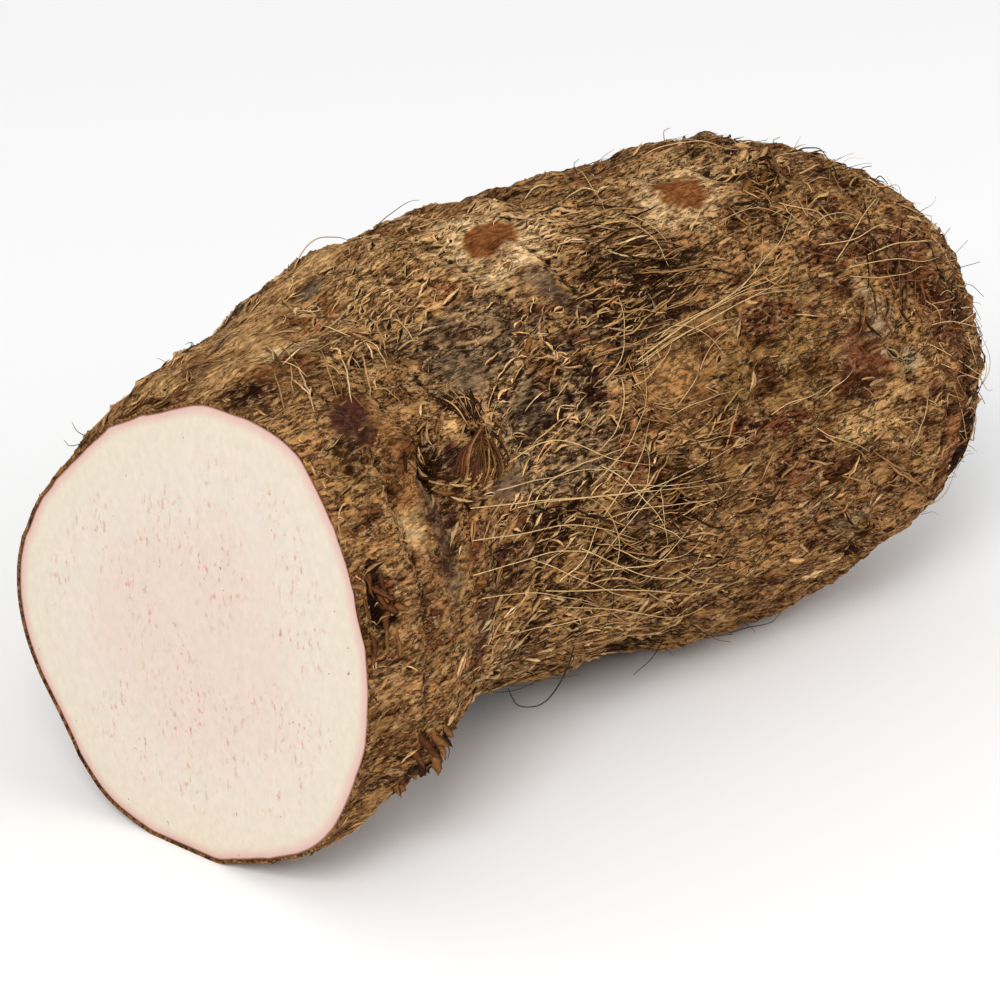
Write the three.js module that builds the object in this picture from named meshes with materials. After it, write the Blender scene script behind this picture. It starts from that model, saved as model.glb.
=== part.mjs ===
// A taro root, the large corm of the taro plant, with one end cut straight across.
// It is one closed body: bark and flesh have grown as one piece, so nothing inside is separate.
//
// Units are millimetres and +Z is up. The corm lies along X, with the cut end towards -X and the
// crown, where the leaves grew, towards +X. The origin is under the middle of the corm, on the
// surface that it lies on.
//
// A place on the bark is given by x, the distance from the cut, and by an angle in degrees:
// 0 is +Y, 90 is the top, 180 is -Y and 270 is the underside.

import * as THREE from "three";

// Driving dimensions
const LENGTH = 205;            // from the cut to the crown
const CUT_RADIUS = 44.5;       // mean radius of the cut face
const MIDDLE_X = 102.5;        // from the cut to the middle of the length
const MIDDLE_Y = 5.5;          // sideways shift of the whole, which puts the origin at its middle
const FLOOR = 1.1;             // height at which the underside is flattened by its own weight

// Stations along the corm: distance from the cut, radius, then the height and side of the middle
const STATIONS = [
  { x: 0, radius: 44.8, side: 0, height: 46 },
  { x: 12, radius: 46, side: 2, height: 46.4 },
  { x: 30, radius: 44.2, side: 4.5, height: 47.2 },
  { x: 48, radius: 41.6, side: 8.2, height: 50 },
  { x: 66, radius: 43, side: 9.8, height: 51.5 },
  { x: 90, radius: 45.3, side: 9, height: 50 },
  { x: 120, radius: 46.6, side: 7, height: 47.5 },
  { x: 145, radius: 46, side: 5.5, height: 46.8 },
  { x: 166, radius: 43, side: 3, height: 46.5 },
  { x: 182, radius: 36.5, side: 0, height: 46 },
  { x: 191, radius: 29, side: -1, height: 46 },
  { x: 196, radius: 22.5, side: -1, height: 46 },
  { x: 199, radius: 16.5, side: -1, height: 46 },
  { x: 203, radius: 13.5, side: -1, height: 46 },
  { x: LENGTH, radius: 0, side: -1, height: 46 },
];

// The cut face is not round: its radius every 20 degrees, starting at +Y
const CUT_OUTLINE = [
  44.4, 40.4, 38.4, 39, 40.8, 46, 50.1, 47.8, 44.9, 44.4, 44.3, 44.4, 43.5, 44, 46.2, 46.5, 44.4, 45.4,
];
const CUT_OUTLINE_FADE = 28;   // how far along the corm the cut's own outline is still felt

// Leaf-scar rings run round the corm where old leaves sat; they crowd together at the crown
const RINGS = [14, 27, 41, 55, 70, 86, 101, 115, 128, 141, 153, 164, 174, 182.5, 190];
const RING_HEIGHT = 1;
const RING_CROWN_EXTRA = 0.5;  // the rings stand higher towards the crown
const RING_RISE = 6.5;         // length of the slow slope up to a ring's edge
const RING_FALL = 1.7;         // length of the sharp drop behind it
const RING_WAVE = 1.5;         // how far a ring strays along the corm on its way round
const RING_LEVEL = 0.35;       // mean height of the rings, taken off so that the girth stays true

// Corky bark: long furrows and broken ridges, mostly along the corm
const BARK_LAYERS = [
  { length: 24, width: 15, height: 1, seed: 3 },
  { length: 11, width: 6.9, height: 0.7, seed: 11 },
];
// Raised net: cork ridges that close into long meshes
const NET = { length: 15, width: 10.5, height: 1.1, seed: 29 };
const NET_SHARPNESS = 2.6;     // how narrow the ridges are beside the meshes that they close in
const NET_LEVEL = 0.4;         // mean height of the net, taken off too

// Single forms on the bark: place, half length along the corm, half width round it, height
const FORMS = [
  // the side bud, which stands on a low mound with a split in its middle and a pit beside it
  { x: 44, angle: 142, along: 9, round: 10, height: 2.6 },
  { x: 46, angle: 144, along: 4, round: 6, height: 2 },
  { x: 31, angle: 141, along: 3.2, round: 3.6, height: -2.2 },
  { x: 40, angle: 153, along: 3.2, round: 3, height: -2 },
  // the smooth tan swelling beside it and the grey hollow between the two
  { x: 100, angle: 149, along: 12, round: 10, height: 1.7 },
  { x: 65, angle: 148, along: 7, round: 11, height: -1 },
  // the bud that never grew, with its slit
  { x: 142, angle: 198, along: 5, round: 5, height: 1.7 },
  { x: 143, angle: 201, along: 3, round: 1.8, height: -1.4 },
  // the dark tufted eye on top
  { x: 148, angle: 108, along: 5, round: 5, height: 1.1 },
  { x: 148, angle: 108, along: 2.6, round: 2.6, height: -1.6 },
  // the hairy hollow low on the front
  { x: 94, angle: 178, along: 8, round: 7, height: 1 },
  { x: 94, angle: 178, along: 4.5, round: 4, height: -2.6 },
  // the broken scaly stub near the cut, low on the front
  { x: 19, angle: 203, along: 4.5, round: 4.5, height: 3.2 },
  { x: 22, angle: 222, along: 6, round: 8, height: -1.2 },
  // the crack in the bark close to the cut
  { x: 5.5, angle: 158, along: 2.4, round: 6.5, height: -2.2 },
  // fuller and leaner stretches of the flanks
  { x: 70, angle: 58, along: 14, round: 26, height: 1.4 },
  { x: 106, angle: 58, along: 9, round: 24, height: -0.9 },
  { x: 154, angle: 58, along: 12, round: 22, height: 1.9 },
  { x: 190, angle: 58, along: 6, round: 20, height: -1.8 },
  { x: 100, angle: 236, along: 9, round: 17, height: -1.2 },
  { x: 152, angle: 236, along: 11, round: 17, height: 1.7 },
  { x: 4, angle: 236, along: 9, round: 16, height: 0.9 },
  { x: 180, angle: 200, along: 8, round: 20, height: -1.5 },
  // small buds on the side that is turned away
  { x: 58, angle: 22, along: 5, round: 5, height: 1.8 },
  { x: 122, angle: 348, along: 5.5, round: 5, height: 1.9 },
  { x: 158, angle: 30, along: 4.5, round: 4.5, height: 1.5 },
];

// Crown: the leaf stalks were trimmed here, so it ends in a low ragged boss
const CROWN_START = 190;
const CROWN_STUB = 200;        // where the boss stands out of the rounded end
const CROWN_FADE = 3;
const CROWN_RADIUS = 13.5;
const CROWN_FOLDS = 5;
const CROWN_FOLD_HEIGHT = 0.8;
const CROWN_RIM_HEIGHT = 0.5;

// Mesh: its rows follow the rings, with one row on each edge and one at its foot
const AROUND = 84;
const ROWS_BETWEEN_RINGS = 2;
const CROWN_ROWS = [196, 199.2, 203, 204.4];
const CUT_RIM_ROW = 1.5;

const FULL_TURN = Math.PI * 2;
const radians = THREE.MathUtils.degToRad;
const smoothstep = THREE.MathUtils.smoothstep;

// Smooth curve through points that neither overshoots nor dips between them
function smoothCurve(xs, ys) {
  const steps = xs.slice(1).map((x, i) => x - xs[i]);
  const rises = steps.map((step, i) => (ys[i + 1] - ys[i]) / step);
  const slopes = ys.map((_, i) => {
    if (i === 0) return rises[0];
    if (i === rises.length) return rises[i - 1];
    if (rises[i - 1] * rises[i] <= 0) return 0;
    const before = 2 * steps[i] + steps[i - 1];
    const after = steps[i] + 2 * steps[i - 1];
    return (before + after) / (before / rises[i - 1] + after / rises[i]);
  });
  return (x) => {
    let i = 0;
    while (i < steps.length - 1 && x > xs[i + 1]) i += 1;
    const t = (x - xs[i]) / steps[i];
    const pull = steps[i] * (slopes[i] * (1 - t) - slopes[i + 1] * t) * t * (1 - t);
    const blend = t * t * (3 - 2 * t);
    return ys[i] + (ys[i + 1] - ys[i]) * blend + pull;
  };
}

const stationX = STATIONS.map((station) => station.x);
const radiusSquared = smoothCurve(stationX, STATIONS.map((station) => station.radius ** 2));
const sideAt = smoothCurve(stationX, STATIONS.map((station) => station.side));
const heightAt = smoothCurve(stationX, STATIONS.map((station) => station.height));
const radiusAt = (x) => Math.sqrt(Math.max(radiusSquared(x), 0));

// Radius of the cut face at an angle, as a share of its mean
function cutShare(angle) {
  const count = CUT_OUTLINE.length;
  const place = (angle / FULL_TURN) * count;
  const i = Math.floor(place);
  const t = place - i;
  const [a, b, c, d] = [-1, 0, 1, 2].map((k) => CUT_OUTLINE[(i + k + count) % count]);
  const bend = 2 * a - 5 * b + 4 * c - d + (3 * (b - c) + d - a) * t;
  return (b + 0.5 * t * (c - a + t * bend)) / CUT_RADIUS;
}

// Repeatable random value between 0 and 1 for one knot of a grid
function knot(i, j, seed) {
  const value = Math.sin(i * 127.1 + j * 311.7 + seed * 74.7) * 43758.5453;
  return value - Math.floor(value);
}

// Smooth random relief between -1 and 1, which closes on itself round the corm
function relief(x, angle, length, width, seed) {
  const columns = Math.round((FULL_TURN * CUT_RADIUS) / width);
  const u = x / length;
  const v = (angle / FULL_TURN) * columns;
  const i = Math.floor(u);
  const j = Math.floor(v);
  const s = (u - i) ** 2 * (3 - 2 * (u - i));
  const t = (v - j) ** 2 * (3 - 2 * (v - j));
  const left = j % columns;
  const right = (j + 1) % columns;
  const near = knot(i, left, seed) * (1 - t) + knot(i, right, seed) * t;
  const far = knot(i + 1, left, seed) * (1 - t) + knot(i + 1, right, seed) * t;
  return 2 * (near * (1 - s) + far * s) - 1;
}

// How far the rings stray along the corm, at a place on the bark; none at the cut and the crown
function ringShift(x, angle) {
  const slow = Math.sin(angle + x / 37) + 0.7 * Math.sin(2 * angle + x / 23);
  const wave = slow + 0.5 * Math.sin(5 * angle + x / 31);
  return RING_WAVE * wave * smoothstep(x, 4, 30) * (1 - smoothstep(x, 165, 196));
}

// Leaf-scar rings: each rises slowly to its edge and drops sharply behind it
function ringRelief(x, angle) {
  const height = RING_HEIGHT + RING_CROWN_EXTRA * smoothstep(x, 120, 185);
  return RINGS.reduce((sum, ring, k) => {
    const offset = x - ring;
    const reach = offset < 0 ? RING_RISE : RING_FALL;
    const strength = 0.75 + 0.25 * Math.sin(3 * angle + k * 1.7);
    return sum + height * strength * Math.exp(-((offset / reach) ** 2));
  }, -RING_LEVEL);
}

// Raised net: its ridges run where smooth random relief passes through nought
function netRelief(x, angle) {
  const depth = Math.abs(relief(x, angle, NET.length, NET.width, NET.seed));
  return NET.height * Math.exp(-NET_SHARPNESS * depth) - NET_LEVEL;
}

// Height of the single forms at one place
function formRelief(x, angle) {
  return FORMS.reduce((sum, form) => {
    let turn = angle - radians(form.angle);
    turn -= FULL_TURN * Math.round(turn / FULL_TURN);
    const round = (turn * radiusAt(form.x)) / form.round;
    const along = (x - form.x) / form.along;
    return sum + form.height * Math.exp(-(along ** 2 + round ** 2));
  }, 0);
}

// Folds of the trimmed leaf bases on the crown
function crownRelief(x, angle) {
  const fold = Math.sin(angle * CROWN_FOLDS + 1.5 * Math.sin(angle * 2));
  const inward = Math.min(radiusAt(x) / CROWN_RADIUS, 1) ** 3;
  const fade = smoothstep(x, CROWN_STUB - CROWN_FADE, CROWN_STUB) * inward;
  return (CROWN_FOLD_HEIGHT * fold + CROWN_RIM_HEIGHT) * fade;
}

// Height of the bark over the plain stations; row is the place along the corm before the rings stray
function barkHeight(row, x, angle) {
  const cork = BARK_LAYERS.reduce(
    (sum, layer) => sum + layer.height * relief(x, angle, layer.length, layer.width, layer.seed), 0,
  );
  const fade = (0.35 + 0.65 * smoothstep(x, 0, 12)) * (1 - smoothstep(x, CROWN_START, LENGTH - 4));
  const covering = fade * (cork + ringRelief(row, angle) + netRelief(x, angle));
  return covering + formRelief(x, angle) + crownRelief(x, angle);
}

// Rows of the mesh, as distances from the cut
function rowPlaces() {
  const rows = [0, CUT_RIM_ROW];
  RINGS.forEach((ring) => {
    const last = rows[rows.length - 1];
    for (let k = 1; k <= ROWS_BETWEEN_RINGS; k += 1) {
      rows.push(last + ((ring - last) * k) / (ROWS_BETWEEN_RINGS + 1));
    }
    rows.push(ring, ring + RING_FALL);
  });
  return rows.concat(CROWN_ROWS);
}

// One point of the bark
function barkPoint(row, angle) {
  const x = row + ringShift(row, angle);
  const radius = radiusAt(x);
  const step = 0.5;
  const slope = (radiusAt(Math.min(x + step, LENGTH)) - radiusAt(Math.max(x - step, 0))) / (2 * step);
  const steepness = Math.hypot(1, slope);
  const lean = (-slope / steepness) * smoothstep(x, 0, 15);
  const height = barkHeight(row, x, angle);
  const share = 1 + (cutShare(angle) - 1) * Math.exp(-((x / CUT_OUTLINE_FADE) ** 2));
  const reach = radius * share + height / steepness;
  return [
    x + lean * height - MIDDLE_X,
    sideAt(x) + reach * Math.cos(angle) - MIDDLE_Y,
    Math.max(heightAt(x) + reach * Math.sin(angle), FLOOR) - FLOOR,
  ];
}

function cormGeometry() {
  const rows = rowPlaces();
  const points = rows.flatMap((row) => (
    Array.from({ length: AROUND }, (_, column) => barkPoint(row, (column / AROUND) * FULL_TURN))
  ));
  const lastRow = rows.length - 1;
  const cutMiddle = points.push([-MIDDLE_X, -MIDDLE_Y, STATIONS[0].height - FLOOR]) - 1;
  const tip = STATIONS[STATIONS.length - 1];
  const crownMiddle = points.push([LENGTH - MIDDLE_X, tip.side - MIDDLE_Y, tip.height - FLOOR]) - 1;

  const faces = [];
  const at = (row, column) => row * AROUND + (column % AROUND);
  for (let column = 0; column < AROUND; column += 1) {
    faces.push(cutMiddle, at(0, column + 1), at(0, column));
    faces.push(crownMiddle, at(lastRow, column), at(lastRow, column + 1));
    for (let row = 0; row < lastRow; row += 1) {
      const corners = [at(row, column), at(row, column + 1), at(row + 1, column + 1), at(row + 1, column)];
      faces.push(corners[0], corners[1], corners[2], corners[0], corners[2], corners[3]);
    }
  }
  const geometry = new THREE.BufferGeometry();
  geometry.setAttribute("position", new THREE.Float32BufferAttribute(points.flat(), 3));
  geometry.setIndex(faces);
  geometry.computeVertexNormals();
  return geometry;
}

// Dry corky bark, golden brown
const bark = new THREE.MeshStandardMaterial({ color: 0x8a6236, roughness: 0.9, metalness: 0 });

const corm = new THREE.Mesh(cormGeometry(), bark);
corm.name = "taro_corm";

const taro = new THREE.Group();
taro.add(corm);

export default taro;
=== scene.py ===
"""A large taro corm, cut straight across at one end, lying on a pale floor in soft light.

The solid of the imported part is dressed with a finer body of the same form: the bark with its net of
cork, the cut flesh, the buds, the torn leaf bases and the root hairs. Sizes are in millimetres in the
part's own frame, and each mesh is turned into metres as it is made.
"""

import logging
import math
from dataclasses import dataclass, field
from enum import Enum
from typing import Callable, Sequence

import bpy
import numpy as np
from mathutils import Matrix, Vector, noise


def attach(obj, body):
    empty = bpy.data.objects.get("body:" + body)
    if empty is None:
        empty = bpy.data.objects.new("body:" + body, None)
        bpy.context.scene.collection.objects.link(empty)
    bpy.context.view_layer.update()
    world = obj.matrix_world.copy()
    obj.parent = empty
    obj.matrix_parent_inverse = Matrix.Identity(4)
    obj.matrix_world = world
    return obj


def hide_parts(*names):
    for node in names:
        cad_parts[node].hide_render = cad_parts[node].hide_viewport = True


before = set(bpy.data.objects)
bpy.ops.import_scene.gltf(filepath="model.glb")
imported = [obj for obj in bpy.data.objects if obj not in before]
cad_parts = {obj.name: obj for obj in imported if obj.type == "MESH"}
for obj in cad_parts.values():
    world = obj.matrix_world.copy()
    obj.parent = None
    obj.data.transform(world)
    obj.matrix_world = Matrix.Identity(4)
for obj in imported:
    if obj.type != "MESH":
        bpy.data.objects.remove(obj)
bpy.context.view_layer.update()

LOG = logging.getLogger("taro")
METRES = 0.001                 # one millimetre
FULL_TURN = 2 * math.pi
GIRTH_RADIUS = 45              # the corm's usual radius, in millimetres
BODY = "root"
NODE = "taro_corm"

Array = np.ndarray
Draws = np.random.Generator
Piece = bpy.types.Object
Socket = bpy.types.NodeSocket
Value = Socket | float | tuple


def smoothstep(value: Array | float, low: float, high: float) -> Array:
    """Eases values from 0 at low to 1 at high."""
    share = np.clip((np.asarray(value, float) - low) / (high - low), 0, 1)
    return share * share * (3 - 2 * share)


def linear(red: float, green: float, blue: float) -> tuple[float, float, float]:
    """Turns a colour as seen on a screen, 0 to 255, into the linear values that light uses."""
    return tuple(((c / 255 + 0.055) / 1.055) ** 2.4 if c > 10 else c / 3295 for c in (red, green, blue))


class Tone(Enum):
    """The colours of the corm's bark, cork and hairs."""

    PALE = linear(222, 186, 136)
    TAN = linear(194, 150, 98)
    OCHRE = linear(162, 118, 72)
    OLIVE = linear(140, 103, 58)
    BROWN = linear(124, 82, 44)
    GOLD = linear(144, 98, 54)
    UMBER = linear(98, 58, 34)
    GREY = linear(104, 82, 62)
    PURPLE = linear(68, 38, 30)
    RED = linear(104, 60, 36)
    DARK = linear(56, 32, 16)
    SCAR = linear(128, 76, 38)
    STONE = linear(162, 136, 100)
    RUST = linear(140, 88, 50)
    STRAW = linear(214, 178, 122)
    CHESTNUT = linear(116, 76, 38)
    BLACK = linear(46, 28, 16)


(PALE, TAN, OCHRE, OLIVE, BROWN, GOLD, UMBER, GREY, PURPLE, RED, DARK, SCAR, STONE, RUST, STRAW,
 CHESTNUT, BLACK) = Tone


@dataclass(frozen=True)
class Form:
    """A swelling or a hollow of the bark: its place, half lengths and height."""

    x: float
    angle: float
    along: float
    round: float
    height: float


@dataclass(frozen=True)
class Patch:
    """A stretch of bark with a colour of its own: its place, half lengths and what covers it."""

    x: float
    angle: float
    along: float
    round: float
    cork: Tone
    skin: Tone
    cover: float = 0.5         # how much of it is cork, 0 to 1
    smooth: float = 0.0        # how flat its relief is, 0 to 1
    ragged: float = 0.35       # how torn its edge is
    soft: float = 0.5          # how far its edge fades
    lean: float = 0.0          # how far its lower side lies towards the cut


class SmoothCurve:
    """A curve through points that neither overshoots nor dips between them."""

    def __init__(self, xs: Sequence[float], ys: Sequence[float]) -> None:
        """Works out the slope at each point.

        Args:
            xs: where the points lie, rising.
            ys: their values.
        """
        self.xs = np.asarray(xs, float)
        self.ys = np.asarray(ys, float)
        self.steps = np.diff(self.xs)
        rises = np.diff(self.ys) / self.steps
        self.slopes = np.zeros(len(self.xs))
        self.slopes[0], self.slopes[-1] = rises[0], rises[-1]
        for i in range(1, len(rises)):
            if rises[i - 1] * rises[i] > 0:
                before = 2 * self.steps[i] + self.steps[i - 1]
                after = self.steps[i] + 2 * self.steps[i - 1]
                self.slopes[i] = (before + after) / (before / rises[i - 1] + after / rises[i])

    def __call__(self, x: Array | float) -> Array:
        """Reads the curve.

        Args:
            x: where to read it.

        Returns:
            Its values there.
        """
        x = np.asarray(x, float)
        i = np.clip(np.searchsorted(self.xs, x, side="left") - 1, 0, len(self.steps) - 1)
        t = (x - self.xs[i]) / self.steps[i]
        pull = self.steps[i] * (self.slopes[i] * (1 - t) - self.slopes[i + 1] * t) * t * (1 - t)
        return self.ys[i] + (self.ys[i + 1] - self.ys[i]) * t * t * (3 - 2 * t) + pull


@dataclass
class CormShape:
    """The form of the corm, by the same stations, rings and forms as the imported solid.

    A place on the bark is given by its row, the distance from the cut, and an angle in radians from
    +Y over the top.
    """

    length: float = 205.0
    cut_radius: float = 44.5
    middle: tuple[float, float] = (102.5, 5.5)
    floor: float = 1.1
    stations: tuple = (
        (0, 44.8, 0, 46), (12, 46, 2, 46.4), (30, 44.2, 4.5, 47.2), (48, 41.6, 8.2, 50),
        (66, 43, 9.8, 51.5), (90, 45.3, 9, 50), (120, 46.6, 7, 47.5), (145, 46, 5.5, 46.8),
        (166, 43, 3, 46.5), (182, 36.5, 0, 46), (191, 29, -1, 46), (196, 22.5, -1, 46),
        (199, 16.5, -1, 46), (203, 13.5, -1, 46), (205, 0, -1, 46),
    )
    cut_outline: tuple = (
        44.4, 40.4, 38.4, 39, 40.8, 46, 50.1, 47.8, 44.9, 44.4, 44.3, 44.4, 43.5, 44, 46.2, 46.5,
        44.4, 45.4,
    )
    cut_fade: float = 28.0
    rings: tuple = (14, 27, 41, 55, 70, 86, 101, 115, 128, 141, 153, 164, 174, 182.5, 190)
    ring_height: float = 1.0
    ring_crown_extra: float = 0.5
    ring_rise: float = 6.5
    ring_fall: float = 1.7
    ring_wave: float = 1.5
    ring_level: float = 0.35
    bark_layers: tuple = ((24, 15, 1, 3), (11, 6.9, 0.7, 11))
    net: tuple = (15, 10.5, 1.1, 29)
    net_sharpness: float = 2.6
    net_level: float = 0.4
    crown_start: float = 190.0
    crown_stub: float = 200.0
    crown_fade: float = 3.0
    crown_radius: float = 13.5
    crown_folds: int = 5
    crown_fold_height: float = 0.8
    crown_rim_height: float = 0.5
    forms: tuple = (
        Form(44, 142, 9, 10, 2.6), Form(46, 144, 4, 6, 2), Form(31, 141, 3.2, 3.6, -2.2),
        Form(40, 153, 3.2, 3, -2), Form(100, 149, 12, 10, 1.7), Form(65, 148, 7, 11, -1),
        Form(142, 198, 5, 5, 1.7), Form(143, 201, 3, 1.8, -1.4), Form(148, 108, 5, 5, 1.1),
        Form(148, 108, 2.6, 2.6, -1.6), Form(94, 178, 8, 7, 1), Form(94, 178, 4.5, 4, -2.6),
        Form(19, 203, 4.5, 4.5, 3.2), Form(22, 222, 6, 8, -1.2), Form(5.5, 158, 2.4, 6.5, -2.2),
        Form(70, 58, 14, 26, 1.4), Form(106, 58, 9, 24, -0.9), Form(154, 58, 12, 22, 1.9),
        Form(190, 58, 6, 20, -1.8), Form(100, 236, 9, 17, -1.2), Form(152, 236, 11, 17, 1.7),
        Form(4, 236, 9, 16, 0.9), Form(180, 200, 8, 20, -1.5), Form(58, 22, 5, 5, 1.8),
        Form(122, 348, 5.5, 5, 1.9), Form(158, 30, 4.5, 4.5, 1.5),
    )

    def __post_init__(self) -> None:
        """Draws the curves through the stations."""
        xs, radii, sides, heights = zip(*self.stations)
        self.radius_squared = SmoothCurve(xs, [radius ** 2 for radius in radii])
        self.side_at = SmoothCurve(xs, sides)
        self.height_at = SmoothCurve(xs, heights)

    def radius_at(self, x: Array | float) -> Array:
        """Gives the plain radius at distances from the cut."""
        return np.sqrt(np.maximum(self.radius_squared(x), 0))

    def cut_share(self, angle: Array) -> Array:
        """Gives the cut's radius at an angle, as a share of its mean.

        Args:
            angle: angles in radians, 0 or more.

        Returns:
            The shares.
        """
        count = len(self.cut_outline)
        radii = np.array(self.cut_outline)
        place = angle / FULL_TURN * count
        i = np.floor(place).astype(int)
        t = place - i
        a, b, c, d = (radii[(i + k) % count] for k in (-1, 0, 1, 2))
        bend = 2 * a - 5 * b + 4 * c - d + (3 * (b - c) + d - a) * t
        return (b + 0.5 * t * (c - a + t * bend)) / self.cut_radius

    def relief(self, x: Array, angle: Array, length: float, width: float, seed: int) -> Array:
        """Gives smooth random relief that closes on itself round the corm.

        Args:
            x: distances from the cut.
            angle: angles in radians.
            length: size of its swellings along the corm.
            width: their size round it.
            seed: which random relief.

        Returns:
            Heights between -1 and 1.
        """
        def knot(row: Array, column: Array) -> Array:
            """Gives one repeatable random value between 0 and 1 for each knot of a grid."""
            value = np.sin(row * 127.1 + column * 311.7 + seed * 74.7) * 43758.5453
            return value - np.floor(value)

        columns = round(FULL_TURN * self.cut_radius / width)
        u, v = x / length, angle / FULL_TURN * columns
        i, j = np.floor(u), np.floor(v)
        s, t = smoothstep(u - i, 0, 1), smoothstep(v - j, 0, 1)
        left, right = j % columns, (j + 1) % columns
        near = knot(i, left) * (1 - t) + knot(i, right) * t
        far = knot(i + 1, left) * (1 - t) + knot(i + 1, right) * t
        return 2 * (near * (1 - s) + far * s) - 1

    def ring_shift(self, x: Array, angle: Array) -> Array:
        """Gives how far the rings stray along the corm at a place."""
        slow = np.sin(angle + x / 37) + 0.7 * np.sin(2 * angle + x / 23)
        wave = slow + 0.5 * np.sin(5 * angle + x / 31)
        return self.ring_wave * wave * smoothstep(x, 4, 30) * (1 - smoothstep(x, 165, 196))

    def ring_relief(self, row: Array, angle: Array) -> Array:
        """Gives the leaf-scar rings: each rises slowly to its edge and drops sharply behind it.

        Args:
            row: distances from the cut, before the rings stray.
            angle: angles in radians.

        Returns:
            Heights in millimetres.
        """
        height = self.ring_height + self.ring_crown_extra * smoothstep(row, 120, 185)
        total = -self.ring_level * np.ones_like(row)
        for k, ring in enumerate(self.rings):
            offset = row - ring
            reach = np.where(offset < 0, self.ring_rise, self.ring_fall)
            strength = 0.75 + 0.25 * np.sin(3 * angle + k * 1.7)
            total += height * strength * np.exp(-((offset / reach) ** 2))
        return total

    def form_relief(self, x: Array, angle: Array) -> Array:
        """Gives the height of the single swellings and hollows.

        Args:
            x: distances from the cut.
            angle: angles in radians.

        Returns:
            Heights in millimetres.
        """
        total = np.zeros_like(x)
        for form in self.forms:
            turn = angle - math.radians(form.angle)
            turn = turn - FULL_TURN * np.round(turn / FULL_TURN)
            across = turn * self.radius_at(form.x) / form.round
            total += form.height * np.exp(-(((x - form.x) / form.along) ** 2 + across ** 2))
        return total

    def crown_relief(self, x: Array, angle: Array) -> Array:
        """Gives the folds of the trimmed leaf bases on the crown.

        Args:
            x: distances from the cut.
            angle: angles in radians.

        Returns:
            Heights in millimetres.
        """
        fold = np.sin(angle * self.crown_folds + 1.5 * np.sin(angle * 2))
        inward = np.minimum(self.radius_at(x) / self.crown_radius, 1) ** 3
        fade = smoothstep(x, self.crown_stub - self.crown_fade, self.crown_stub) * inward
        return (self.crown_fold_height * fold + self.crown_rim_height) * fade

    def bark_height(self, row: Array, x: Array, angle: Array) -> Array:
        """Gives the height of the bark over the plain stations.

        Args:
            row: distances from the cut, before the rings stray.
            x: the same distances, once they have strayed.
            angle: angles in radians.

        Returns:
            Heights in millimetres.
        """
        cork = sum(high * self.relief(x, angle, length, width, seed)
                   for length, width, high, seed in self.bark_layers)
        depth = np.abs(self.relief(x, angle, self.net[0], self.net[1], self.net[3]))
        raised_net = self.net[2] * np.exp(-self.net_sharpness * depth) - self.net_level
        fade = 0.35 + 0.65 * smoothstep(x, 0, 12)
        fade = fade * (1 - smoothstep(x, self.crown_start, self.length - 4))
        covering = fade * (cork + self.ring_relief(row, angle) + raised_net)
        return covering + self.form_relief(x, angle) + self.crown_relief(x, angle)

    def surface(self, row: Array, angle: Array, extra: Array | float = 0.0) -> Array:
        """Gives points of the bark.

        Args:
            row: distances from the cut, before the rings stray.
            angle: angles in radians.
            extra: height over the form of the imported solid.

        Returns:
            Points in millimetres, in the part's frame, in the last axis.
        """
        x = row + self.ring_shift(row, angle)
        radius = self.radius_at(x)
        step = 0.5
        ahead = self.radius_at(np.minimum(x + step, self.length))
        slope = (ahead - self.radius_at(np.maximum(x - step, 0))) / (2 * step)
        steepness = np.hypot(1, slope)
        lean = -slope / steepness * smoothstep(x, 0, 15)
        height = self.bark_height(row, x, angle) + extra
        share = 1 + (self.cut_share(angle) - 1) * np.exp(-((x / self.cut_fade) ** 2))
        reach = radius * share + height / steepness
        z = np.maximum(self.height_at(x) + reach * np.sin(angle), self.floor) - self.floor
        y = self.side_at(x) + reach * np.cos(angle) - self.middle[1]
        return np.stack([x + lean * height - self.middle[0], y, z], -1)


def fractal(points: Array, size: Sequence[float], octaves: int, seed: float) -> Array:
    """Reads smooth random values, with finer ones added, at points in space.

    Args:
        points: the points, in millimetres.
        size: size of the largest swellings along each axis.
        octaves: how many finer layers are added.
        seed: which random field.

    Returns:
        Values of about -1 to 1.
    """
    scaled = (points / np.asarray(size, float) + seed).reshape(-1, 3)
    values = [noise.fractal(Vector(p), 1.0, 2.0, octaves) for p in scaled.tolist()]
    return np.array(values).reshape(points.shape[:-1])


def cell_edges(points: Array, size: Sequence[float], seed: float) -> Array:
    """Reads how far points are from the edges of a random net of cells.

    Args:
        points: the points, in millimetres.
        size: size of the cells along each axis.
        seed: which random net.

    Returns:
        Values of 0 on the net's edges, up to about 1 inside its cells.
    """
    scaled = (points / np.asarray(size, float) + seed).reshape(-1, 3)
    found = (noise.voronoi(Vector(p))[0] for p in scaled.tolist())
    return np.array([d[1] - d[0] for d in found]).reshape(points.shape[:-1])


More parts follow.
